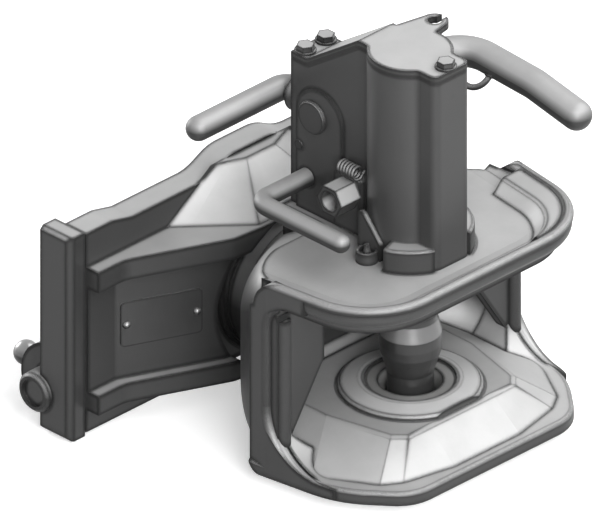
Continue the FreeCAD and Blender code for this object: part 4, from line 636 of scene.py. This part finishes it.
class COUPLING_OT_rails_and_plates(bpy.types.Operator):
    """Machined rails, guard plates, data plate and bracket"""
    bl_idname = "coupling.rails_and_plates"
    bl_label = "Rails and plates"

    def execute(self, context):
        colours = context.scene.coupling_colours
        rail = make_finish("machined_rail", colours.plate, roughness=0.42, metallic=0.3,
                           pattern="marks", grain=1400.0, stretch=(1.0, 1.0, 0.03), relief=0.00003)
        plate = make_finish("rolled_plate", colours.plate, roughness=0.5, metallic=0.2,
                            pattern="marks", grain=700.0, stretch=(1.0, 0.08, 1.0), relief=0.00003)
        data = make_finish("blank_plate", lighter(colours.plate, 1.1), roughness=0.38, metallic=0.35,
                           pattern="marks", grain=1600.0, stretch=(1.0, 1.0, 0.05), relief=0.00001,
                           edge_share=0.4)
        give_finish(["left_guide_rail", "right_guide_rail"], rail)
        give_finish(["left_side_guard", "right_side_guard", "cable_bracket", "pin_grease_cup"], plate)
        give_finish(["data_plate"], data)
        return {"FINISHED"}


class COUPLING_OT_bars(bpy.types.Operator):
    """Drawn bars of the handles, and the plated sleeve beside them"""
    bl_idname = "coupling.bars"
    bl_label = "Handles"

    def execute(self, context):
        colours = context.scene.coupling_colours
        bar = make_finish("drawn_bar", colours.bar, roughness=0.5, metallic=0.2, pattern="marks",
                          grain=900.0, stretch=(0.25, 0.25, 1.0), relief=0.00002, contrast=0.1,
                          edge_share=0.6)
        zinc = make_finish("zinc_plate", lighter(colours.bar, 1.7), roughness=0.4, metallic=0.25,
                           pattern="cast", grain=1500.0, relief=0.00001, contrast=0.08,
                           edge_share=0.5)
        give_finish(["lift_handle", "rope_eye", "release_handle", "rear_handle", "shaft_cap",
                     "lift_shaft"], bar)
        give_finish(["hex_sleeve"], zinc)
        return {"FINISHED"}


class COUPLING_OT_pin_and_bushes(bpy.types.Operator):
    """Ground pin and bolts, wear ring and bushes"""
    bl_idname = "coupling.pin_and_bushes"
    bl_label = "Pin and bushes"

    def execute(self, context):
        colours = context.scene.coupling_colours
        pin = make_finish("ground_steel", colours.pin, roughness=0.3, metallic=0.4, pattern="marks",
                          grain=1500.0, stretch=(0.15, 0.15, 1.0), relief=0.00002, contrast=0.1)
        # Wear ring and thrust washer are paler than the pin: partly worn steel, partly painted light
        # against the upper jaw's shadow
        wear_and_light = make_finish("worn_steel_and_painted_light", lighter(colours.pin, 1.55), roughness=0.4, metallic=0.3,
                           pattern="cast", grain=900.0, relief=0.00003, contrast=0.12)
        bush = make_finish("bearing_metal", colours.bush, roughness=0.4, metallic=0.5,
                           pattern="marks", grain=1200.0, stretch=(0.2, 0.2, 1.0), relief=0.00002)
        give_finish(["coupling_pin", "left_lock_bolt", "right_lock_bolt"], pin)
        give_finish(["wear_ring", "thrust_washer"], wear_and_light)
        give_finish(["front_neck_bush", "rear_neck_bush", "lower_bush", "guide_bush"], bush)
        return {"FINISHED"}


class COUPLING_OT_small_parts(bpy.types.Operator):
    """Plated fasteners, springs and the forged parts inside"""
    bl_idname = "coupling.small_parts"
    bl_label = "Small parts"

    def execute(self, context):
        colours = context.scene.coupling_colours
        plated = plated_finish(colours)
        spring = spring_wire_finish(colours)
        forged = make_finish("forged_steel", colours.dark, roughness=0.5, metallic=0.4,
                             pattern="cast", grain=700.0)
        give_finish(["plate_rivets", "cover_bolts", "roll_pin", "rear_handle_pin", "split_pin",
                     "castle_nut", "retaining_washer", "left_bolt_handle", "right_bolt_handle"], plated)
        give_finish(["left_bolt_spring", "right_bolt_spring", "closing_spring"], spring)
        give_finish(["lift_fork", "release_pawl"], forged)
        return {"FINISHED"}


# The scene's own pieces

class COUPLING_OT_release_spring(bpy.types.Operator):
    """Return spring of the release handle, lying over the bracket"""
    bl_idname = "coupling.release_spring"
    bl_label = "Release spring"

    def execute(self, context):
        wire = 0.0009
        coil = 0.0042
        length = 0.0145
        turns = 6
        steps_a_turn = 20
        tail = 0.0014
        from_bracket_end = 0.0075
        inside_bracket_face = 0.0003
        sunk = 0.0002
        bracket_low, bracket_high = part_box("cable_bracket")
        axis = Vector((1.0, 0.0, 0.0))
        beside = Vector((0.0, coil, 0.0))
        centre = Vector((bracket_low[0] + from_bracket_end,
                         bracket_high[1] - coil - wire - inside_bracket_face,
                         bracket_high[2] + coil + wire - sunk))
        form = bmesh.new()
        wire_coil(form, centre, centre + beside, axis, length, wire, turns, steps_a_turn)
        for end in (centre, centre + axis * length):
            edges = wire_start(form, end + beside, (0.0, 1.0, 0.0), wire, COIL_SIDES)
            wire_run(form, edges, (0.0, tail, 0.0))
        close_ends(form)
        spring = spring_wire_finish(context.scene.coupling_colours)
        place_piece("release_spring", form, spring, "head")
        return {"FINISHED"}


class COUPLING_OT_weld_beads(bpy.types.Operator):
    """Weld beads at the roots of the lift handle and of the rope eye"""
    bl_idname = "coupling.weld_beads"
    bl_label = "Weld beads"

    def execute(self, context):
        colours = context.scene.coupling_colours
        weld = make_finish("weld_metal", colours.bar, roughness=0.4, metallic=0.5, pattern="cast",
                           grain=1100.0, relief=0.00004)
        handle_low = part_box("lift_handle")[0]
        shaft_low, shaft_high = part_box("lift_shaft")
        root = ((shaft_low[0] + shaft_high[0]) / 2, handle_low[1], (shaft_low[2] + shaft_high[2]) / 2)
        bead = weld_bead_form(root, (0.0, 1.0, 0.0), radius=0.0094, bead=0.0015, ripples=22)
        place_piece("handle_weld_bead", bead, weld, "lift_lever")

        # The rope eye's ring enters the handle's bar at two places
        ring_y = 0.102
        ring_z = 0.1326
        ring_direction = (0.0, 0.5736, 0.8192)
        for name, ring_x in (("rope_eye_weld_front", -0.034), ("rope_eye_weld_back", -0.058)):
            bead = weld_bead_form((ring_x, ring_y, ring_z), ring_direction, radius=0.0022, bead=0.0011,
                                  ripples=7)
            place_piece(name, bead, weld, "lift_lever")
        return {"FINISHED"}


class COUPLING_OT_split_pin_legs(bpy.types.Operator):
    """Legs of the split pin, bent apart below the nut"""
    bl_idname = "coupling.split_pin_legs"
    bl_label = "Split pin legs"

    def execute(self, context):
        wire = 0.0013
        from_middle = 0.0014
        overlap = 0.0015
        straight = 0.003
        bend_from_middle = 0.0054
        bend_below = 0.0015
        bend_angle = 105.0
        bend_steps = 10
        end_length = 0.009
        pin_low, pin_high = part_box("split_pin")
        pin_x = (pin_low[0] + pin_high[0]) / 2
        plated = plated_finish(context.scene.coupling_colours)
        climb = math.radians(bend_angle - 90.0)
        for name, side in (("split_pin_leg_left", -1.0), ("split_pin_leg_right", 1.0)):
            form = bmesh.new()
            start = (pin_x, side * from_middle, pin_low[2] + overlap)
            edges = wire_start(form, start, (0.0, 0.0, -1.0), wire)
            edges = wire_run(form, edges, (0.0, 0.0, -straight))
            bend = (pin_x, side * bend_from_middle, pin_low[2] - bend_below)
            edges = wire_bend(form, edges, bend, (side, 0.0, 0.0), math.radians(bend_angle), bend_steps)
            away = Vector((0.0, side * math.cos(climb), math.sin(climb)))
            wire_run(form, edges, away * end_length)
            close_ends(form)
            place_piece(name, form, plated, "head")
        return {"FINISHED"}


class COUPLING_OT_bolt_springs(bpy.types.Operator):
    """Springs of the locking bolts, built as coils at one length, though the real ones shorten as the
    bolts draw in
    """
    bl_idname = "coupling.bolt_springs"
    bl_label = "Bolt springs"

    def execute(self, context):
        wire = 0.001
        turns = 8
        steps_a_turn = 24
        axis = Vector((0.0, 1.0, 0.0))
        spring = spring_wire_finish(context.scene.coupling_colours)
        for side, outward in (("left", -1.0), ("right", 1.0)):
            low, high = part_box(side + "_bolt_spring")
            length = high[1] - low[1]
            blind_end = high[1] if outward < 0.0 else low[1]
            centre = Vector(((low[0] + high[0]) / 2, blind_end + outward * wire,
                             (low[2] + high[2]) / 2))
            beside = Vector(((high[0] - low[0]) / 2 - wire, 0.0, 0.0))
            form = bmesh.new()
            wire_coil(form, centre, centre + beside, axis, outward * (length - 2.0 * wire), wire,
                      turns, steps_a_turn)
            close_ends(form)
            piece = place_piece(side + "_bolt_coil", form, spring, "slider")
            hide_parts(side + "_bolt_spring")
            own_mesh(piece)
        return {"FINISHED"}


class COUPLING_PT_panel(bpy.types.Panel):
    """Lists the coupling's colours, sizes and operators"""
    bl_label = "Coupling"
    bl_idname = "COUPLING_PT_panel"
    bl_space_type = "VIEW_3D"
    bl_region_type = "UI"
    bl_category = "Coupling"

    def draw(self, context):
        column = self.layout.column()
        for owner in (context.scene.coupling_colours, context.scene.coupling_sizes):
            for key in owner.__annotations__:
                column.prop(owner, key)
        for step in STEPS:
            column.operator(step.bl_idname)


STEPS = (
    COUPLING_OT_stage,
    COUPLING_OT_castings,
    COUPLING_OT_rails_and_plates,
    COUPLING_OT_bars,
    COUPLING_OT_pin_and_bushes,
    COUPLING_OT_small_parts,
    COUPLING_OT_release_spring,
    COUPLING_OT_weld_beads,
    COUPLING_OT_split_pin_legs,
    COUPLING_OT_bolt_springs,
)
CLASSES = (CouplingColours, CouplingSizes, COUPLING_PT_panel) + STEPS


def register():
    for item in CLASSES:
        bpy.utils.register_class(item)
    bpy.types.Scene.coupling_colours = bpy.props.PointerProperty(type=CouplingColours)
    bpy.types.Scene.coupling_sizes = bpy.props.PointerProperty(type=CouplingSizes)


def unregister():
    del bpy.types.Scene.coupling_sizes
    del bpy.types.Scene.coupling_colours
    for item in reversed(CLASSES):
        bpy.utils.unregister_class(item)


def main():
    register()
    bpy.ops.coupling.stage()
    bpy.ops.coupling.castings()
    bpy.ops.coupling.rails_and_plates()
    bpy.ops.coupling.bars()
    bpy.ops.coupling.pin_and_bushes()
    bpy.ops.coupling.small_parts()
    bpy.ops.coupling.release_spring()
    bpy.ops.coupling.weld_beads()
    bpy.ops.coupling.split_pin_legs()
    bpy.ops.coupling.bolt_springs()


if __name__ == "__main__":
    main()
